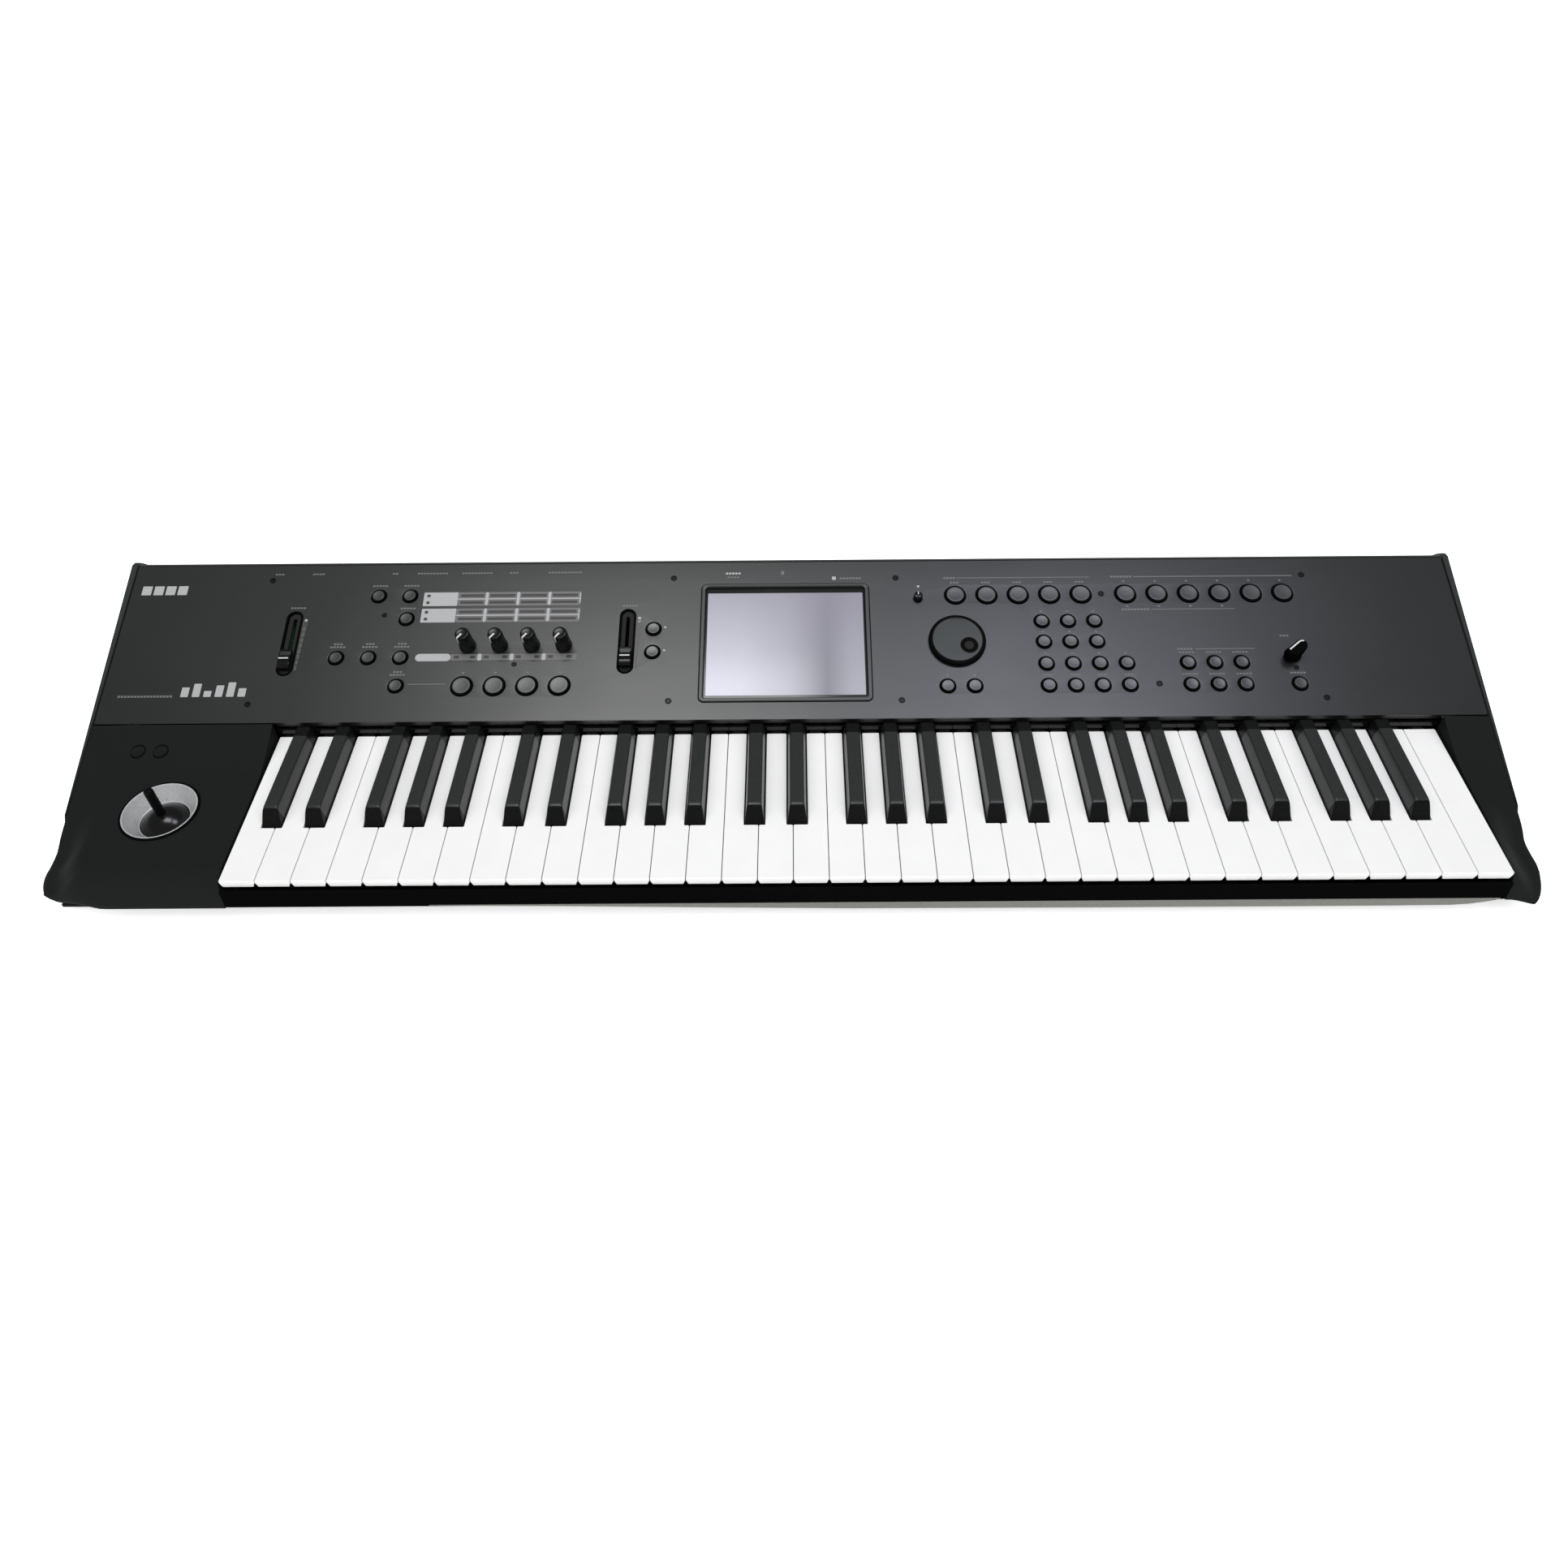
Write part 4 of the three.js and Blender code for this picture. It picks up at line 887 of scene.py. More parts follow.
def print_tables(ink):
    """The two tables above the real-time knobs, and the strip and line beneath them."""
    print_group(ink, 98.9, 111.1)
    print_group(ink, 84.3, 96.5)
    ink.bar(-279.5, GROUP_SOLID + 0.8, 50.7, 57, BRIGHT, 1, 3)
    ink.bar(GROUP_SOLID + 0.9, -159, 51.3, 56.5, DIM)
    edges = [GROUP_SOLID, *COLUMNS, GROUP_RIGHT]
    for left, right in zip(edges, edges[1:]):
        ink.bar(left + 3, left + 7, 52.7, 55.3, DARK, 2)
        ink.bar(right - 7, right - 3, 52.7, 55.3, DARK, 2)
    for x in COLUMNS:
        ink.bar(x - 1.4, x + 1.4, 51.1, 56.7, BRIGHT, 2)
    ink.bar(-282, -254, 31, 31.6, DIM)


def print_captions(ink):
    """Captions of the buttons and knobs, and the lines that join them into groups."""
    for x, s in PLACES["function_buttons"]:
        ink.caption(x, s + 9.3, 12)
        if s < 60:
            ink.caption(x, s + 11.8, 8)
    for i in range(4):
        x, s = PLACES[f"pad_{i + 1}"][0]
        ink.caption(x, s + 11.2, 2)
    first, last = PLACES["mode_buttons"][0], PLACES["mode_buttons"][-1]
    ink.bar(first[0] + 2, last[0] + 8, first[1] + 15.2, first[1] + 15.8, DIM)
    ink.caption(first[0] - 3.5, first[1] + 15.5, 10, DIM, 1.6)
    for x, s in PLACES["mode_buttons"]:
        ink.caption(x, s + 11.2, 8, DIM, 1.4)
    first, last = PLACES["bank_buttons"][0], PLACES["bank_buttons"][-1]
    ink.bar(first[0] + 8, last[0] + 10, first[1] + 15.1, first[1] + 15.9, DIM)
    ink.caption(first[0] - 1.5, first[1] + 15.6, 17, DIM, 1.7)
    for i, (x, s) in enumerate(PLACES["bank_buttons"]):
        ink.caption(x, s + 11.4, 3, DIM, 1.3)
        if i < 4:
            ink.caption(x, s - 11.2, 3)
    ink.caption(263, 91.5, 22, DIM, 1.6)
    ink.bar(275, 338, 91.2, 91.8, DIM)
    for x, s in PLACES["number_buttons"] + PLACES["dial_buttons"]:
        ink.caption(x, s + 8.6, 3 if s > 30 or x < 150 else 8, DIM, 1.2)
    for x, s in PLACES["sequencer_buttons"]:
        ink.caption(x, s + 8.6, 11, DIM, 1.2)
    ink.bar(303, 347, 56.3, 56.9, DIM)
    ink.caption(295, 56.6, 12, DIM, 1.5)
    ink.caption(TEMPO[0] - 3, TEMPO[1] + 17, 8)
    x, s = PLACES["tap_button"][0]
    ink.caption(x, s + 9, 12)
    for node in ("increment_button", "decrement_button"):
        x, s = PLACES[node][0]
        ink.bar(x + 8, x + 9.6, s + 0.6, s + 2.2, BRIGHT)
    x, s = CONTRAST
    ink.bar(x - 0.2, x + 1.6, s + 9.8, s + 11.6, BRIGHT)


def print_scales(ink):
    """A caption over each slider, and a faint scale that widens upwards beside it."""
    for slider in SLIDERS.values():
        ink.caption(slider["x"] + 1, slider["high"] + 3.5, 11, DIM, 1.4)
        scale_x = slider["x"] + 8.5
        ink.bar(scale_x - 0.8, scale_x + 1.4, slider["high"] - 11.5, slider["high"] - 6.5, BRIGHT)
        for i in range(9):
            s = slider["low"] + 4 + 4.8 * i
            ink.bar(scale_x - 1.4, scale_x + 0.2 + 0.2 * i, s, s + 4.2, FAINT)


# Headings along the panel's rear edge: the middle and the width of each.
HEADINGS = ((-394.5, 7), (-364.4, 10), (-305, 4), (-276, 24), (-241.5, 24), (-213, 7), (-173.4, 26))
TITLE_X = -498
TITLE_STEP, TITLE_WIDTH = 9.2, 7.4
BADGE_X = -448
BADGE_STEP, BADGE_WIDTH = 8.4, 5.6
BADGE_HEIGHTS = (8, 11, 5, 9.5, 12, 7)


def print_titles(ink):
    """Headings, and plain blocks where an instrument carries its names."""
    for x, width in HEADINGS:
        ink.caption(x, 128.5, width, DIM, 1.4)
    ink.caption(-43.2, 126.5, 12, BRIGHT, 1.6)
    ink.caption(-43.2, 123, 10, DIM, 1.2)
    ink.bar(-6.3, -3.9, 125, 128.5, DIM)
    ink.bar(33, 36, 120, 123, BRIGHT)
    ink.caption(47, 121.3, 16, DIM, 1.6)

    for i in range(4):
        x = TITLE_X + i * TITLE_STEP
        ink.bar(x, x + TITLE_WIDTH, 110.5, 118.5, BRIGHT)
    ink.caption(-474, 22.6, 40, DIM, 1.8)
    for i, height in enumerate(BADGE_HEIGHTS):
        x = BADGE_X + i * BADGE_STEP
        ink.bar(x, x + BADGE_WIDTH, 22, 22 + height, BRIGHT)


def make_printing():
    ink = Printing()
    print_tables(ink)
    print_captions(ink)
    print_scales(ink)
    print_titles(ink)
    piece("panel_printing", ink.form, [INK, INK_GREY, INK_DARK, INK_FAINT], place=PANEL)


# ---------------------------------------------------------------- keys
KEY_PITCH = 23.5
KEY_AIR = 0.5                          # on each side of a key in the CAD
SEAM = 0.22                            # half the gap drawn between naturals
# How much is cut off a natural's lower edges, by the height above its underside. The cut faces are painted dark as
# the shade in the gaps between keys.
LOWER_CUTS = {0: 1.2, 0.15: 1.1, 0.5: 0.9, 1.2: 0.55, 2.1: 0.25, 3.2: 0.0}
FRONT_ROUND, REAR_ROUND = 0.6, 0.95    # radii of a natural's corners
CUT_REACH = 1.3                        # from a natural's sides
NATURAL_THICKNESS = 6
SHARP_CENTRES = [20.7, 49.8, 90.4, 117.5, 144.6]   # from the octave's left edge
SHARP_HALF = 6.75
NOTCH_HALF = SHARP_HALF + 0.55
SHARP_LEAN = 2.1 / 12.5                # how much a sharp's flank leans in, for each millimetre of height
ARM_HALF = 4                           # half the width of the arm behind a natural
BED = {"arm_y": 36, "rail_y0": 30, "rail_y1": 52, "rail_z0": 29, "rail_z1": 34.5}


def add_natural(form, left, sharps, front, rear, notch_front, top):
    """A white key, cut away beside the sharps, with its lower edges painted dark as the shade in the gaps between
    keys, its arm and its foot in the bed.
    """
    x0 = left + SEAM
    x1 = left + KEY_PITCH - SEAM
    middle = (x0 + x1) / 2
    notches_right = [x - NOTCH_HALF for x in sharps if x - NOTCH_HALF < x1 < x + NOTCH_HALF]
    notches_left = [x + NOTCH_HALF for x in sharps if x - NOTCH_HALF < x0 < x + NOTCH_HALF]
    arm_left = max([x0, *notches_left])
    arm_right = min([x1, *notches_right])
    corners = [(x0, front), (x1, front)]
    radii = [FRONT_ROUND, FRONT_ROUND]
    if notches_right:
        corners += [(x1, notch_front), (arm_right, notch_front)]
        radii += [REAR_ROUND, FRONT_ROUND]
    corners += [(arm_right, rear), (arm_left, rear)]
    radii += [REAR_ROUND, REAR_ROUND]
    if notches_left:
        corners += [(arm_left, notch_front), (x0, notch_front)]
        radii += [FRONT_ROUND, REAR_ROUND]
    outline = rounded(corners, radii, 4)
    low = top - NATURAL_THICKNESS
    start, first_face = len(form.points), len(form.faces)
    form.plate(outline, [], [(0.5, low), (0.1, low + 0.15), (0, low + 0.5), (0, low + 1.2),
                             (0, low + 2.1), (0, low + 3.2), (0, top - 0.5), (0.06, top - 0.26),
                             (0.2, top - 0.08), (0.5, top)])
    cut = {}
    for index in range(start, len(form.points)):
        point = form.points[index]
        above = round(point.z - low, 3)
        if above in LOWER_CUTS and min(point.x - x0, x1 - point.x) < CUT_REACH:
            cut[index] = 1 if point.x < middle else -1
            point.x += LOWER_CUTS[above] * cut[index]
    # Faces on the cut lower edges take the dark material: painted shade in the gaps between keys.
    for number in range(first_face, len(form.faces)):
        sides = {cut.get(index, 0) for index in form.faces[number]}
        if sides == {1} or sides == {-1}:
            form.kinds[number] = 1
    centre = (arm_left + arm_right) / 2
    form.block((centre - ARM_HALF, rear - 7, low + 0.4), (centre + ARM_HALF, BED["arm_y"], top - 1.2),
               0.3, kind=1)
    form.block((centre - ARM_HALF, BED["rail_y0"], BED["rail_z0"] + 0.5),
               (centre + ARM_HALF, BED["arm_y"] - 0.2, low + 1), 0.2, kind=1)


# Along a sharp's crest: how far behind its foot, how high over the naturals, how much narrower.
SHARP_CREST = [(0, -1.2, 0.7), (0.15, -0.5, 0.3), (0.45, 0.1, 0.08), (1.0, 1.0, 0), (2.7, 4.2, 0),
               (4.3, 7.0, 0), (5.5, 9.0, 0), (6.3, 10.1, 0), (7.3, 10.85, 0), (8.6, 11.3, 0),
               (10.2, 11.5, 0), (30, 11.4, 0), (60, 11.15, 0), (75, 11.0, 0), (76, 11.0, 0),
               (84.9, 10.9, 0), (85.5, 10.75, 0.15), (85.8, 10.3, 0.5)]
NOSE_RINGS = 8                         # of those, the ones on a sharp's sloping front, painted darker as shade
SHADE_RINGS = 4                        # and the ones beside the panel, painted darker as the shade under it, and more matt


def sharp_section(centre, y, base, low, top, squeeze):
    """The outline of a sharp at one depth: leaning flanks, rounded shoulders and a crowned top."""

    def half(z):
        return SHARP_HALF - squeeze - SHARP_LEAN * max(0.0, z - base)

    soft = min(1.3, (top - low) * 0.2)
    right = [(half(low), low), (half(low + (top - low) * 0.5), low + (top - low) * 0.5),
             (half(top - soft), top - soft)]
    shoulder = half(top - soft)
    for turn in (22, 45, 68, 88):
        angle = math.radians(turn)
        right.append((shoulder - soft * (1 - math.cos(angle)) - 0.1,
                      top - soft + soft * math.sin(angle) - 0.06))
    right.append((shoulder * 0.4, top))
    left = [(-x, z) for x, z in reversed(right)]
    return [Vector((centre + x, y, z)) for x, z in right + left]


def add_sharp(form, centre, front, base):
    low = base - NATURAL_THICKNESS
    rings = []
    for behind, above, squeeze in SHARP_CREST:
        rings.append(sharp_section(centre, front + behind, base, low, base + above, squeeze))
    start = len(form.kinds)
    form.skin(rings)
    last = len(SHARP_CREST) - 1
    # The sloping front and the rings beside the panel take the darker copy: painted shade.
    for first, end in ((0, NOSE_RINGS), (last + 1 - SHADE_RINGS, last)):
        for number in range(start + first * len(rings[0]), start + end * len(rings[0])):
            form.kinds[number] = 1
    form.block((centre - 3.5, front + 67, low - 0.6), (centre + 3.5, 52, base - 1.2), 0.3)


def add_key_rail(form, left, right):
    """The bar in the bed that a row of naturals hangs from."""
    form.block((left + 1, BED["rail_y0"], BED["rail_z0"]), (right - 1, BED["rail_y1"], BED["rail_z1"]),
               0.4, kind=1)


def make_keys():
    top = 1000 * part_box("white_key_high_c")[1].z
    front = 1000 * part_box("white_key_high_c")[0].y
    rear = FASCIA_Y - 1
    sharp_front = 1000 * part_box("black_keys_octave_1")[0].y
    for i in range(1, 6):
        node = f"white_keys_octave_{i}"
        left = 1000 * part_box(node)[0].x - KEY_AIR
        sharps = [left + x for x in SHARP_CENTRES]
        naturals = Form()
        for k in range(7):
            add_natural(naturals, left + k * KEY_PITCH, sharps, front, rear, sharp_front - 1, top)
        add_key_rail(naturals, left, left + 7 * KEY_PITCH)
        piece(f"naturals_{i}", naturals, [KEY_WHITE, KEY_ARM_AND_GAP_SHADE], body=node,
              replaces=[node])
        blacks = Form()
        for x in sharps:
            add_sharp(blacks, x, sharp_front, top)
        blacks.block((left + 14, 38, 37.5), (left + 7 * KEY_PITCH - 14, 52, 43.5), 0.4)
        body = f"black_keys_octave_{i}"
        piece(f"sharps_{i}", blacks, [KEY_BLACK, KEY_BLACK_SHADED], body=body, replaces=[body])
    left = 1000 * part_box("white_key_high_c")[0].x - KEY_AIR
    last = Form()
    add_natural(last, left, [], front, rear, sharp_front - 1, top)
    add_key_rail(last, left, left + KEY_PITCH)
    piece("natural_high", last, [KEY_WHITE, KEY_ARM_AND_GAP_SHADE], body="white_key_high_c",
          replaces=["white_key_high_c"])


# ---------------------------------------------------------------- rails in front of and behind the keys
LIP_TOP = 7.4                          # above the rail's lower edge
# Along the rail, and how far the pale strip under it hangs down there. The strip is partly the case's lower lip
# and partly painted shadow under the rail.
LIP_LINE = [(-240, 0), (-150, 2.2), (-60, 5.0), (40, 7.2), (200, 8.0), (380, 8.2), (440, 7.8), (452, 6.8),
            (461, 4.8), (467, 2.4), (470, 0.2)]


def make_rails():
    low, high = extent("front_rail")
    y, z = low.y, low.z
    section = [(0.4, 22), (0, 21), (0, 6), (3, 2), (7, 0), (12, 0), (12, 2.5), (8, 2.5), (4.5, 5),
               (2.4, 7), (2.4, 22)]
    outline = rounded([(y + a, z + b) for a, b in section],
                      [0.3, 0.5, 2.4, 1.5, 1.5, 0.4, 0.4, 0.8, 0.8, 0.8, 0.5], 4)
    rail = Form()
    rail.plate(outline, [], eased_ends(low.x, high.x, 0.2), place=ALONG_X)
    piece("key_slip", rail, [RAIL], replaces=["front_rail"])

    # The strip under the rail: partly the case's lip and partly painted shadow.
    lip = Form()
    rings = []
    for x, drop in LIP_LINE:
        section = [(7, -0.3), (-0.1, 0), (-0.3, -0.4 - 0.7 * drop), (0.6, -0.5 - drop), (7, -0.6 - drop)]
        rings.append([Vector((x, y + a, z + LIP_TOP + b)) for a, b in section])
    lip.skin(rings)
    piece("rail_lip_and_shadow", lip, [RAIL_LIP_AND_SHADOW])

    low, high = extent("fascia_strip")
    strip = Form()
    outline = rectangle(low.y, high.y, low.z, high.z, 0.5, 4)
    strip.plate(outline, [], eased_ends(low.x, high.x, 0.2), place=ALONG_X)
    piece("gloss_fascia", strip, [GLOSS], replaces=["fascia_strip"])

    liners = Form()
    for side in (-1, 1):
        ends = sorted([side * (high.x + 0.1), side * (high.x + 2.6)])
        liners.block((ends[0], FASCIA_Y + 0.6, 10), (ends[1], FASCIA_Y + 46, high.z + 2), 0.3)
    piece("case_liners", liners, [RAIL])


# ---------------------------------------------------------------- end blocks
NOTCH_Y = -97                          # where the cheek ends and the nose swells out
NOSE_Y = -125
FLANK_SWELL = 3.4                      # of the nose over the flank behind it
NOSE_ROUND = 32
# On the left and the right side, at the nose's outer corner:
NOSE_TURN = {-1: 14, 1: 24}            # how far the front falls back
NOSE_PULL = {-1: 0, 1: 1.5}            # how much the flank draws in
NOSE_LIFT = {-1: 5, 1: 10}             # how far the lower edge rises
LIFT_REACH = {-1: 20, 1: 44}           # and over which width
FRONT_FALL = [16, 1, 0, 5]             # how far the nose falls back, from its lower to its upper edge
SIDE_FALL = [8, 0.5, 0.6, 5]
LEVELS = [0, 0.42, 0.72, 1]
BLOCK_LOW = 7.6
CAVITY_LOW = 1.0
GRID = (26, 44, 12)
CAVITY_GRID = (12, 20, 6)
ROLL_WIDTH = 34
FRONT_ROLL = 17
WALL = 2.5
KEY_TOP_Z = extent("white_key_high_c")[1].z
HALF_WIDTH = extent("right_end_block")[1].x - 3.6
FRONT_Y = extent("front_rail")[0].y


def smoothstep(low, high, value):
    t = min(1.0, max(0.0, (value - low) / (high - low)))
    return t * t * (3 - 2 * t)


def spline(values, place):
    """A smooth curve through evenly spaced values."""
    last = len(values) - 1
    i = min(last - 1, int(place))
    t = place - i
    p0, p1, p2, p3 = values[max(0, i - 1)], values[i], values[i + 1], values[min(last, i + 2)]
    return 0.5 * (2 * p1 + (p2 - p0) * t + (2 * p0 - 5 * p1 + 4 * p2 - p3) * t * t
                  + (3 * p1 - p0 - 3 * p2 + p3) * t ** 3)


def slope_z(y):
    return PANEL_Z + (y - FASCIA_Y) * math.tan(TILT)


def outer_x(y):
    if y >= NOSE_Y:
        return HALF_WIDTH - FLANK_SWELL * smoothstep(NOSE_Y, NOTCH_Y, y)
    t = min(1.0, (NOSE_Y - y) / NOSE_ROUND)
    return HALF_WIDTH - ROLL_WIDTH * (1 - math.sqrt(1 - t * t))


def top_z(from_outer, y):
    """Level beside the keys, rising to the panel, and rolling down at the outer edge and the front."""
    rise = slope_z(y) - KEY_TOP_Z
    level = KEY_TOP_Z + (rise + math.hypot(rise, 4)) / 2 - 0.3
    edge = max(slope_z(y) - 0.5, 22)
    rolled = level - max(0.0, level - edge) * (1 - smoothstep(0, ROLL_WIDTH, from_outer))
    t = max(0.0, (FRONT_Y + FRONT_ROLL - y) / FRONT_ROLL)
    return rolled - 11 * (1 - math.sqrt(max(0.0, 1 - t * t)))


def add_end_block(form, inner_x, side, wall):
    """A closed block whose top follows top_z, drawn as a grid on the six sides of a box."""
    counts = CAVITY_GRID if wall else GRID
    index = {}
    points = []

    def block_point(a, b, level):
        """The place at fractions across and back, at a level from 0 to 3."""
        b = b * b * 0.35 + b * 0.65
        turn = max(0.0, (a - 0.6) / 0.4)
        front = FRONT_Y + wall + spline(FRONT_FALL, level) + NOSE_TURN[side] * turn * turn
        y = front + (FASCIA_Y - 0.7 - wall - front) * b
        nose = 1 - smoothstep(NOSE_Y, NOTCH_Y, y)
        outer = outer_x(max(y, FRONT_Y + NOSE_TURN[side])) - NOSE_PULL[side] * nose
        outer = outer - wall - spline(SIDE_FALL, level) * nose
        x = inner_x + wall + (outer - inner_x - wall) * a
        top = top_z(outer + wall - x, y) - wall
        corner_share = max(0.0, 1 - (outer - x) / LIFT_REACH[side]) ** 2
        bottom = CAVITY_LOW if wall else BLOCK_LOW + NOSE_LIFT[side] * nose * corner_share
        return side * x, y, bottom + (top - bottom) * spline(LEVELS, level)

    def corner(i, j, k):
        if (i, j, k) not in index:
            index[i, j, k] = len(points)
            points.append(block_point(i / counts[0], j / counts[1], 3 * k / counts[2]))
        return index[i, j, k]

    faces = []
    for fixed in (2, 1, 0):
        first, second = [axis for axis in range(3) if axis != fixed]
        for a in range(counts[first]):
            for b in range(counts[second]):
                for end in (0, counts[fixed]):
                    face = []
                    for step_a, step_b in ((0, 0), (1, 0), (1, 1), (0, 1)):
                        step = [end, end, end]
                        step[first] = a + step_a
                        step[second] = b + step_b
                        face.append(corner(*step))
                    faces.append(face)
    form.add(points, faces)


STICK_AT = Vector(JOINTS["joystick_side_tilt"]["pos_m"]) * 1000
DISH_R = 25.1
DISH_DEPTH = 9.5
SWITCHES = []
for switch in ("assign_switch_1", "assign_switch_2"):
    switch_low, switch_high = extent(switch)
    SWITCHES.append(((switch_low.x + switch_high.x) / 2, (switch_low.y + switch_high.y) / 2, switch_high.z))
ASSIGN_R = 5


def make_end_blocks():
    for name, side in (("left", -1), ("right", 1)):
        low, high = extent(f"{name}_end_block")
        inner = min(abs(low.x), abs(high.x))
        outside = Form()
        add_end_block(outside, inner, side, 0)
        inside = Form()
        add_end_block(inside, inner, side, WALL)
        cutters = [inside]
        if side < 0:
            holes = Form()
            holes.turned([(DISH_R + 0.6, 20), (DISH_R + 0.6, 70)], 72, place=at(STICK_AT.x, STICK_AT.y))
            for x, y, _ in SWITCHES:
                holes.turned([(ASSIGN_R + 0.5, 20), (ASSIGN_R + 0.5, 90)], 40, place=at(x, y))
            cutters.append(holes)
        piece(f"{name}_block_shell", outside, [SHELL], replaces=[f"{name}_end_block"],
              cutters=cutters)


# ---------------------------------------------------------------- cheeks
DRAW_IN = 4.2                          # of a cheek's outer face, at its front end
DRAW_IN_Y = 5                          # where that starts
DRAW_IN_LENGTH = 107


def make_cheeks():
    for side, node in ((-1, "left_cheek"), (1, "right_cheek")):
        low, high = extent(node)
        inner = min(abs(low.x), abs(high.x))
        outer = max(abs(low.x), abs(high.x))
        front, rear = low.y, high.y
        corners = [(front, slope_z(NOTCH_Y) - 2), (front, 12), (NOTCH_Y + 9, low.z), (rear - 4.5, low.z),
                   (rear, 10), (rear, 60), (rear - 1, 65), (118, 99), (114, 102.5), (110, 103),
                   (104, slope_z(104) + 0.5), (front + 5.5, slope_z(NOTCH_Y + 10) + 0.3)]
        outline = rounded(corners, [1.2, 2, 2, 1.5, 1.5, 1.2, 1.2, 1.5, 1.2, 1.2, 1.2, 1.2], 4)
        form = Form()
        form.plate(outline, [], [(0.4, inner), (0, inner + 0.4), (0, outer - 1.3), (0.12, outer - 0.8),
                                 (0.45, outer - 0.3), (1.1, outer)], place=ALONG_X)
        middle = (inner + outer) / 2
        for point in form.points:
            if point.x > middle:
                point.x -= DRAW_IN * max(0.0, (DRAW_IN_Y - point.y) / DRAW_IN_LENGTH)
            point.x *= side
        piece(f"{node}_plate", form, [FLANK], replaces=[node])


# ---------------------------------------------------------------- rear cover and connectors
SHOULDER_Y = 150                       # the rear face


def opening_place(name):
    """The connector's axis on the rear face: drawn round it, and raised towards the rear."""
    low, high = OPENINGS[name]
    x = 500 * (low[0] + high[0])
    z = 500 * (low[2] + high[2])
    return at(x, SHOULDER_Y, z) @ ALONG_Y


HOLE_R = {"dc_inlet": 4.4, "usb_port": 5.6, "midi_out": 7.6, "midi_in": 7.6}
JACK_R = 3.7
RIM_LOW = 98.5                         # above this, the rear shell's edge along the panel, painted lighter as a highlight


def make_rear_shell():
    low, high = extent("rear_cover")
    corners = [(110.2, 102.3), (111.4, 99.3), (146, 63.2), (147.5, 61), (147.5, 14), (150, 14), (150, 62),
               (148, 65.6), (112, 102)]
    outline = rounded(corners, [0.3, 0.3, 1, 1.5, 0.4, 0.4, 2.4, 2.4, 0.6], 4)
    form = Form()
    form.plate(outline, [], eased_ends(low.x, high.x, 0.3), place=ALONG_X)
    holes = Form()
    for name in OPENINGS:
        radius = HOLE_R.get(name, JACK_R)
        holes.turned([(radius, -6), (radius, 6)], 40, place=opening_place(name))
    switch_low, switch_high = extent("power_switch")
    holes.block((switch_low.x - 0.6, SHOULDER_Y - 6, switch_low.z - 1.6),
                (switch_high.x + 0.6, SHOULDER_Y + 6, switch_high.z + 1.6), 0.4)
    shell = piece("rear_shell", form, [FLANK, REAR_RIM_HIGHLIGHT], replaces=["rear_cover"],
                  cutters=[holes])
    # The edge along the panel takes the lighter grey: painted highlight.
    for polygon in shell.data.polygons:
        if polygon.center.z > RIM_LOW / 1000:
            polygon.material_index = 1


def add_five_pin(form, place):
    form.ring([(9.4, 0), (9.4, 0.9), (9.0, 1.2), (7.4, 1.2), (7.1, 0.9), (7.1, -8), (7.5, -8), (7.5, 0)],
              48, kind=1, place=place)
    form.turned([(7.0, -9), (7.0, -7.5), (1, -7.5)], 40, kind=1, place=place)
    for turn in (0, 45, 90, 135, 180):
        angle = math.radians(turn)
        pin = at(4.3 * math.cos(angle), -4.3 * math.sin(angle))
        form.turned([(0.75, -7.6), (0.75, -4.4), (0.4, -4.1)], 12, kind=0, place=place @ pin)


def add_square_port(form, place):
    form.plate(rectangle(-6.4, 6.4, -5.8, 5.8, 1.2), [rectangle(-4.4, 4.4, -3.9, 3.9, 0.8)],
               [(0, -7), (0, 0.6), (0.3, 0.9)], kind=0, place=place)
    form.block((-2.8, -1.4, -7), (2.8, 1.4, -1.5), 0.2, kind=1, place=place)


def add_power_inlet(form, place):
    form.ring([(6.2, 0), (6.2, 0.9), (5.9, 1.2), (4.4, 1.2), (4.1, 0.9), (4.1, -8), (4.35, -8), (4.35, 0)],
              40, kind=1, place=place)
    form.turned([(1.0, -9), (1.0, -1.5), (0.6, -1.1)], 16, kind=0, place=place)


def add_jack(form, place):
    hexagon = rounded([tuple(p) for p in circle(0, 0, 6.6, 6)], 0.4, 3)
    form.plate(hexagon, [circle(0, 0, 4.5, 30)], [(0.2, 0), (0, 0.2), (0, 1.7), (0.3, 2.0)], kind=0,
               place=place)
    form.ring([(4.4, -6), (4.4, 3.0), (4.2, 3.2), (3.5, 3.2), (3.3, 3.0), (3.3, -6)], 40, kind=0,
              place=place)


CONNECTORS = {"midi_out": add_five_pin, "midi_in": add_five_pin, "usb_port": add_square_port,
              "dc_inlet": add_power_inlet}


def make_connectors():
    hardware = Form()
    for name in OPENINGS:
        add_connector = CONNECTORS.get(name, add_jack)
        add_connector(hardware, opening_place(name))
    piece("connector_hardware", hardware, [NICKEL, BLACK_AND_RIM_SHADE])

    labels = Form()
    for name in OPENINGS:
        place = opening_place(name)
        for i in (-1, 0, 1):
            bar = rectangle(i * 3.4 - 1.4, i * 3.4 + 1.4, 14.2, 15.4, 0.3, 2)
            labels.plate(bar, [], [(0, -0.05), (0, 0.05)], place=place)
    piece("rear_printing", labels, [INK_GREY])

    screws = Form()
    for x in (-480, -330, -90, 110, 300, 480):
        for z in (52, 22):
            add_screw(screws, at(x, SHOULDER_Y, z) @ ALONG_Y, 2.8, 0.7)
    piece("rear_screws", screws, [SCREW])


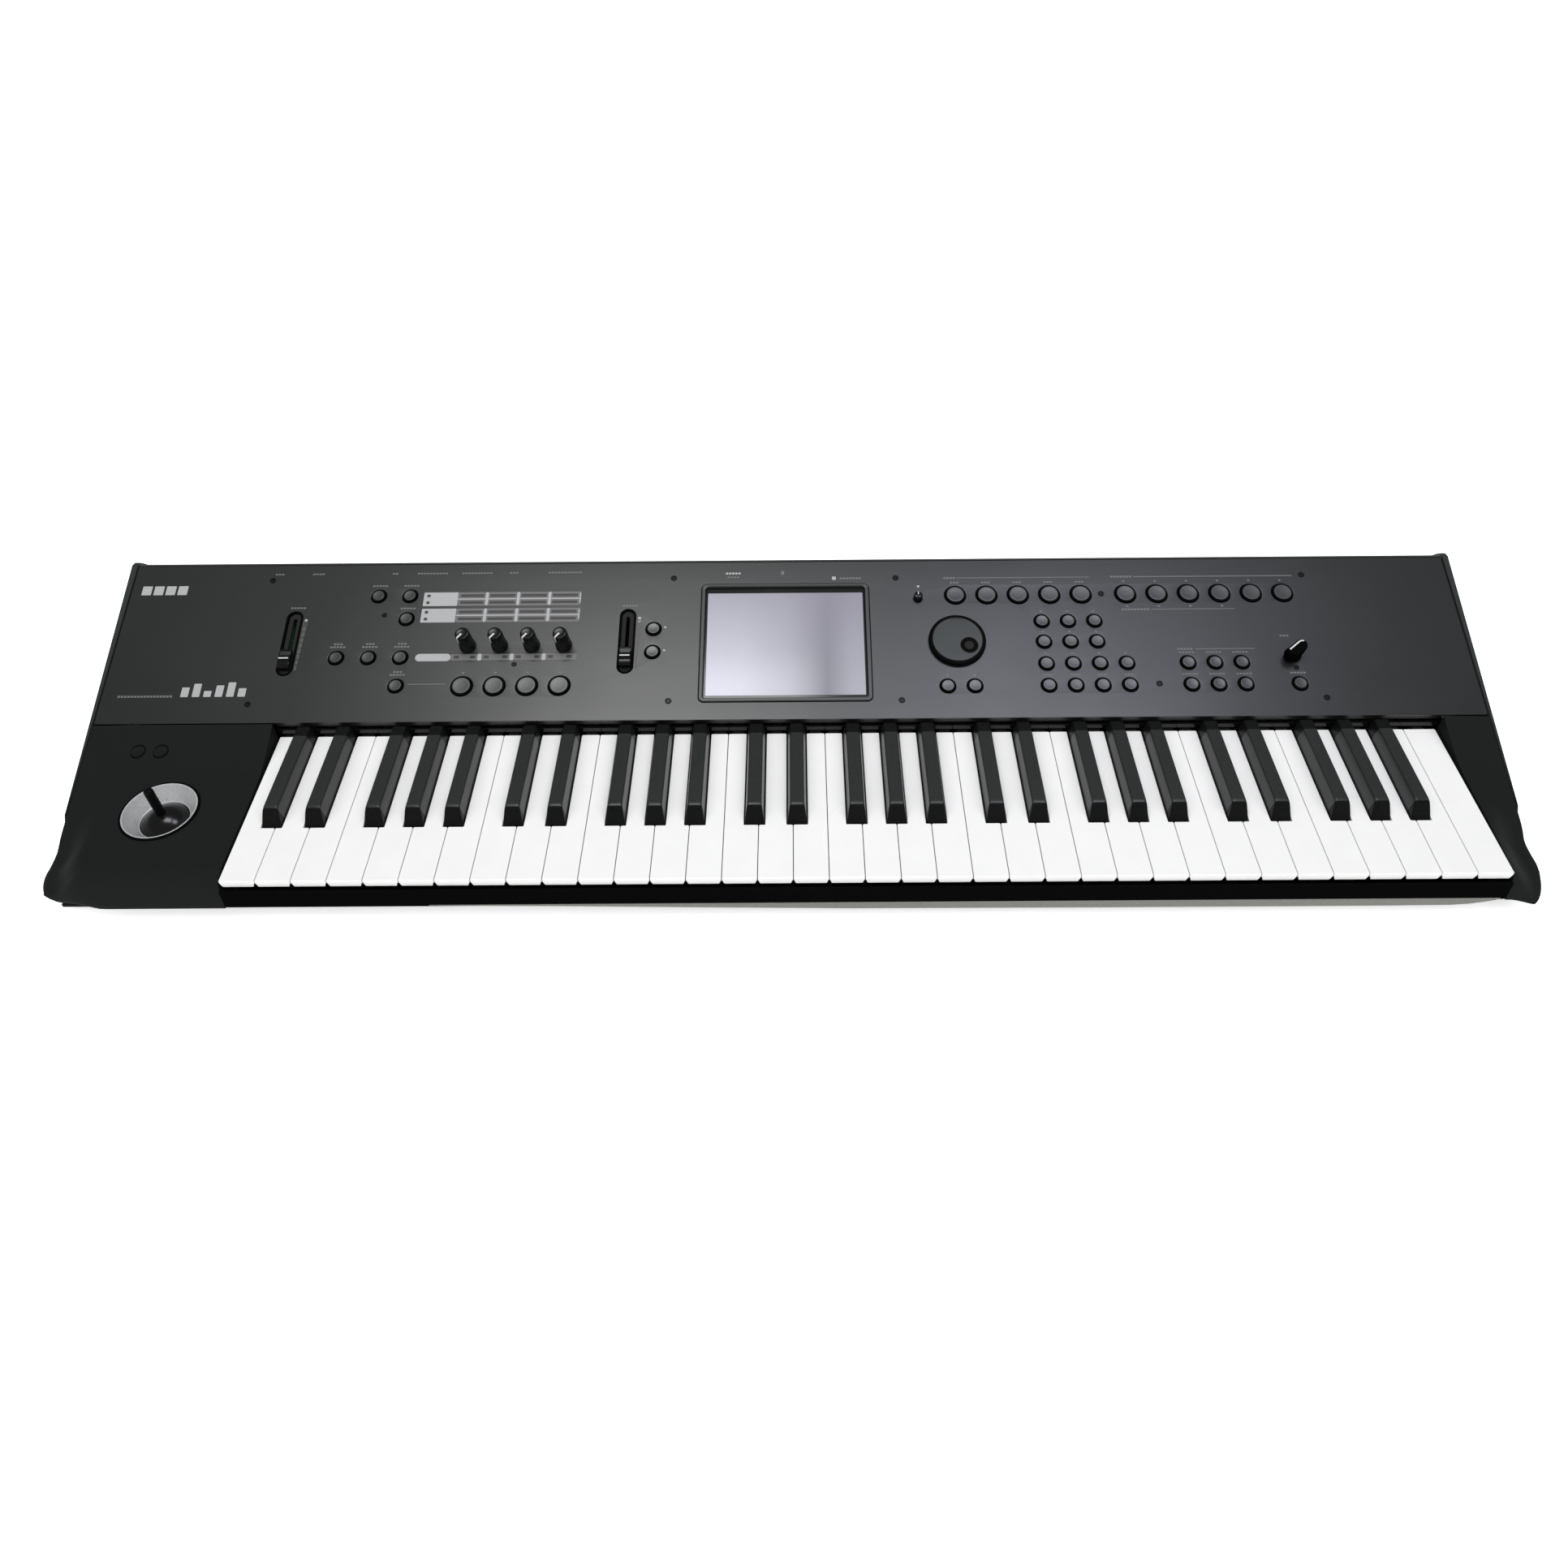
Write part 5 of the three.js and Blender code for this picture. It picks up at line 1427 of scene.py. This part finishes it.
def make_power_switch():
    switch_low, switch_high = extent("power_switch")
    switch = Form()
    z = (switch_low.z + switch_high.z) / 2
    hinge_y = 1000 * JOINTS["power_rock"]["pos_m"][1]
    section = [(7, 6.4), (5.9, 3.4), (4.9, 0), (4.5, -2), (4.8, -4.4), (5.4, -6.4), (-1, -6), (-3, 0),
               (-1, 6)]
    outline = [Vector((hinge_y + a, z + b)) for a, b in reversed(section)]
    switch.plate(outline, [], soft_ends(switch_low.x, switch_high.x, 0.1, 0.4), place=ALONG_X)
    piece("power_rocker", switch, [KNOB_BLACK], body="power_switch",
          replaces=["power_switch"])


# ---------------------------------------------------------------- underside
FRONT_PAD_BACK = 2                     # the front pads sit this far behind the middle of their mounts


def make_underside():
    screws = Form()
    flip = Matrix.Rotation(math.pi, 4, "X")
    low, high = extent("bottom_case")
    for x in (-470, -300, -130, 130, 300, 470):
        for y in (low.y + 16, (low.y + high.y) / 2, high.y - 16):
            add_screw(screws, at(x, y, low.z) @ flip, 3.0, 0.7)
    piece("underside_screws", screws, [SCREW])

    for corner in ("front_left", "front_right", "rear_left", "rear_right"):
        low, high = extent(f"foot_{corner}")
        back = FRONT_PAD_BACK if low.y < 0 else 0
        place = at((low.x + high.x) / 2, (low.y + high.y) / 2 + back)
        foot = Form()
        foot.turned([(4, 1.2), (4.8, 0.5), (5.8, 0), (7.4, 0), (7.9, 0.5), (8.4, 3), (8.8, 5.2), (8.6, 5.7),
                     (3, 5.7)], 48, place=place)
        piece(f"foot_{corner}_pad", foot, [RUBBER], replaces=[f"foot_{corner}"])


# ---------------------------------------------------------------- joystick
BALL_R = 20
BALL_EDGE = 68                         # how far round the ball's cap reaches, in degrees
STICK_R = 3.2
RIM_LIFT = 1.0                         # of the dish's edge over the block round it


def make_dish():
    """The silver bowl down to the ball, and the black collar round it."""
    place = at(STICK_AT.x, STICK_AT.y)
    dish_top = extent("joystick_dish")[1].z + RIM_LIFT
    floor = dish_top - DISH_DEPTH - RIM_LIFT
    ball_at = math.sqrt(BALL_R ** 2 - (floor - STICK_AT.z) ** 2)
    dish = Form()
    lip = ball_at + 0.6
    dish.ring([(DISH_R, dish_top - 4), (DISH_R, dish_top - 0.2), (DISH_R - 0.25, dish_top + 0.05),
               (DISH_R - 0.9, dish_top), (DISH_R - 1.4, dish_top - 0.5), (DISH_R - 2.6, dish_top - 2.6),
               (DISH_R - 4.6, dish_top - 5.6), (DISH_R - 6.6, dish_top - 8.0), (lip + 1.0, floor + 0.5),
               (lip + 0.1, floor + 0.1), (lip + 0.1, floor - 1.6), (DISH_R - 3.4, floor - 0.2)],
              96, place=place)
    piece("joystick_bowl", dish, [SILVER], replaces=["joystick_dish"])

    collar = Form()
    base = dish_top - RIM_LIFT
    collar.ring([(DISH_R + 0.05, base - 4), (DISH_R + 0.55, base - 4), (DISH_R + 0.55, base - 0.2),
                 (DISH_R + 1.6, base - 0.1), (DISH_R + 1.5, base + 0.5), (DISH_R + 0.9, dish_top - 0.1),
                 (DISH_R + 0.5, dish_top + 0.1), (DISH_R + 0.05, dish_top)], 96, place=place)
    piece("joystick_collar", collar, [RAIL])


def make_stick():
    """The ball's cap, the stick that stands on it and the pin through it."""
    place = at(STICK_AT.x, STICK_AT.y)
    ball_z = STICK_AT.z
    lever = Form()
    edge = math.radians(BALL_EDGE)
    section = [(BALL_R * math.sin(a), ball_z + BALL_R * math.cos(a))
               for a in [edge * (1 - i / 18) for i in range(18)]]
    inner = [((BALL_R - 2.2) * math.sin(a), ball_z + (BALL_R - 2.2) * math.cos(a))
             for a in [edge * (i + 1) / 10 for i in range(10)]]
    lever.ring(section + inner, 72, kind=1, place=place)
    top = extent("joystick_lever")[1].z
    lever.turned([(STICK_R, ball_z), (STICK_R, top - 3), (STICK_R - 0.05, top - 1.4),
                  (STICK_R - 0.45, top - 0.5), (STICK_R - 1.2, top - 0.1), (0.6, top)], 48, place=place)
    pin = at(STICK_AT.x, STICK_AT.y, ball_z) @ Matrix.Rotation(math.pi / 2, 4, "Y")
    lever.turned([(1.3, -10.4), (1.5, -10.2), (1.5, 10.2), (1.3, 10.4)], 20, place=pin)
    piece("joystick_stick", lever, [STICK_LOOK, BALL_LOOK], body="joystick_lever",
          replaces=["joystick_lever"])


def make_assign_buttons():
    for i, (x, y, z) in enumerate(SWITCHES, start=1):
        button = Form()
        button.turned([(6.5, z - 9), (6.5, z - 7.2), (5, z - 7), (5, z - 0.7), (4.85, z - 0.25), (4.5, z),
                       (4.1, z - 0.02), (3.4, z - 0.25), (1.0, z - 0.4)], 40, place=at(x, y))
        piece(f"assign_button_{i}", button, [SHELL], body=f"assign_switch_{i}",
              replaces=[f"assign_switch_{i}"])


# ---------------------------------------------------------------- CAD nodes that stay as they are
# The keybed frame is dressed in the rail's black: painted shade under the keys.
KEPT_NODES = {
    "bottom_case": SHELL, "keybed_frame": RAIL, "joystick_bracket": STEEL, "joystick_gimbal": STEEL,
    "key_contact_board": BOARD, "main_board": BOARD, "panel_board": BOARD, "jack_board": BOARD,
}


def dress_kept_nodes():
    for name, material in KEPT_NODES.items():
        mesh = frame["nodes"][name].data
        mesh.materials.clear()
        mesh.materials.append(material)


# ---------------------------------------------------------------- floor, light and camera
CAMERA_PLACE = (0.00403, -0.62381, 0.65432)
CAMERA_DOWN = 44.63                    # in degrees: below the horizon, then round it and about the view
CAMERA_TURN = 0.1913
CAMERA_ROLL = -0.5386
CAMERA_LENS = 26.87
CAMERA_SHIFT = (-0.0055, -0.0415)


def add_area(name, location, width, depth, power, tint=(1, 1, 1)):
    """A softbox that faces straight down."""
    data = bpy.data.lights.new(name, "AREA")
    data.shape = "RECTANGLE"
    data.size = width
    data.size_y = depth
    data.energy = power
    data.color = tint
    lamp = bpy.data.objects.new(name, data)
    bpy.context.scene.collection.objects.link(lamp)
    lamp.location = location


def add_sun(name, towards, strength, softness=50):
    """Even, soft light from a far panel in the direction given."""
    data = bpy.data.lights.new(name, "SUN")
    data.energy = strength
    data.angle = math.radians(softness)
    lamp = bpy.data.objects.new(name, data)
    bpy.context.scene.collection.objects.link(lamp)
    lamp.rotation_euler = (-Vector(towards)).to_track_quat("-Z", "Y").to_euler()
    lamp.visible_glossy = False


def make_stage():
    floor = Form()
    floor.plate(rectangle(-9000, 9000, -9000, 9000, 400, 8), [], [(0, -4), (0, 0)])
    mesh = floor.mesh("floor", MM)
    mesh.materials.append(FLOOR)
    ground = bpy.data.objects.new("floor", mesh)
    bpy.context.scene.collection.objects.link(ground)

    scene = bpy.context.scene
    scene.view_settings.view_transform = "Standard"
    world = bpy.data.worlds.new("studio")
    world.use_nodes = True
    world.node_tree.nodes["Background"].inputs["Color"].default_value = (0.97, 0.99, 1.0, 1)
    world.node_tree.nodes["Background"].inputs["Strength"].default_value = 0.18
    scene.world = world

    add_area("overhead_left", (-0.285, 0.08, 1.65), 0.67, 0.45, 7.6)
    add_area("overhead_right", (0.525, 0.08, 1.65), 0.55, 0.45, 5.8, (0.94, 0.96, 1.12))
    add_sun("front_left", (-0.4, -0.5, 0.8), 1.4)
    add_sun("front_right", (0.4, -0.5, 0.8), 1.4)

    lens = bpy.data.cameras.new("camera")
    lens.sensor_width = 36
    lens.lens = CAMERA_LENS
    lens.shift_x, lens.shift_y = CAMERA_SHIFT
    lens.clip_start = 0.01
    camera = bpy.data.objects.new("camera", lens)
    scene.collection.objects.link(camera)
    aim = at(*CAMERA_PLACE)
    for degrees, axis in ((CAMERA_TURN, "Z"), (90 - CAMERA_DOWN, "X"), (CAMERA_ROLL, "Z")):
        aim = aim @ Matrix.Rotation(math.radians(degrees), 4, axis)
    camera.matrix_world = aim
    scene.camera = camera


make_panel()
make_panel_screws()
make_buttons()
make_realtime_knobs()
make_contrast_knob()
make_tempo_knob()
make_dial()
make_sliders()
make_display()
make_printing()
make_keys()
make_rails()
make_end_blocks()
make_cheeks()
make_rear_shell()
make_connectors()
make_power_switch()
make_underside()
make_dish()
make_stick()
make_assign_buttons()
dress_kept_nodes()
make_stage()
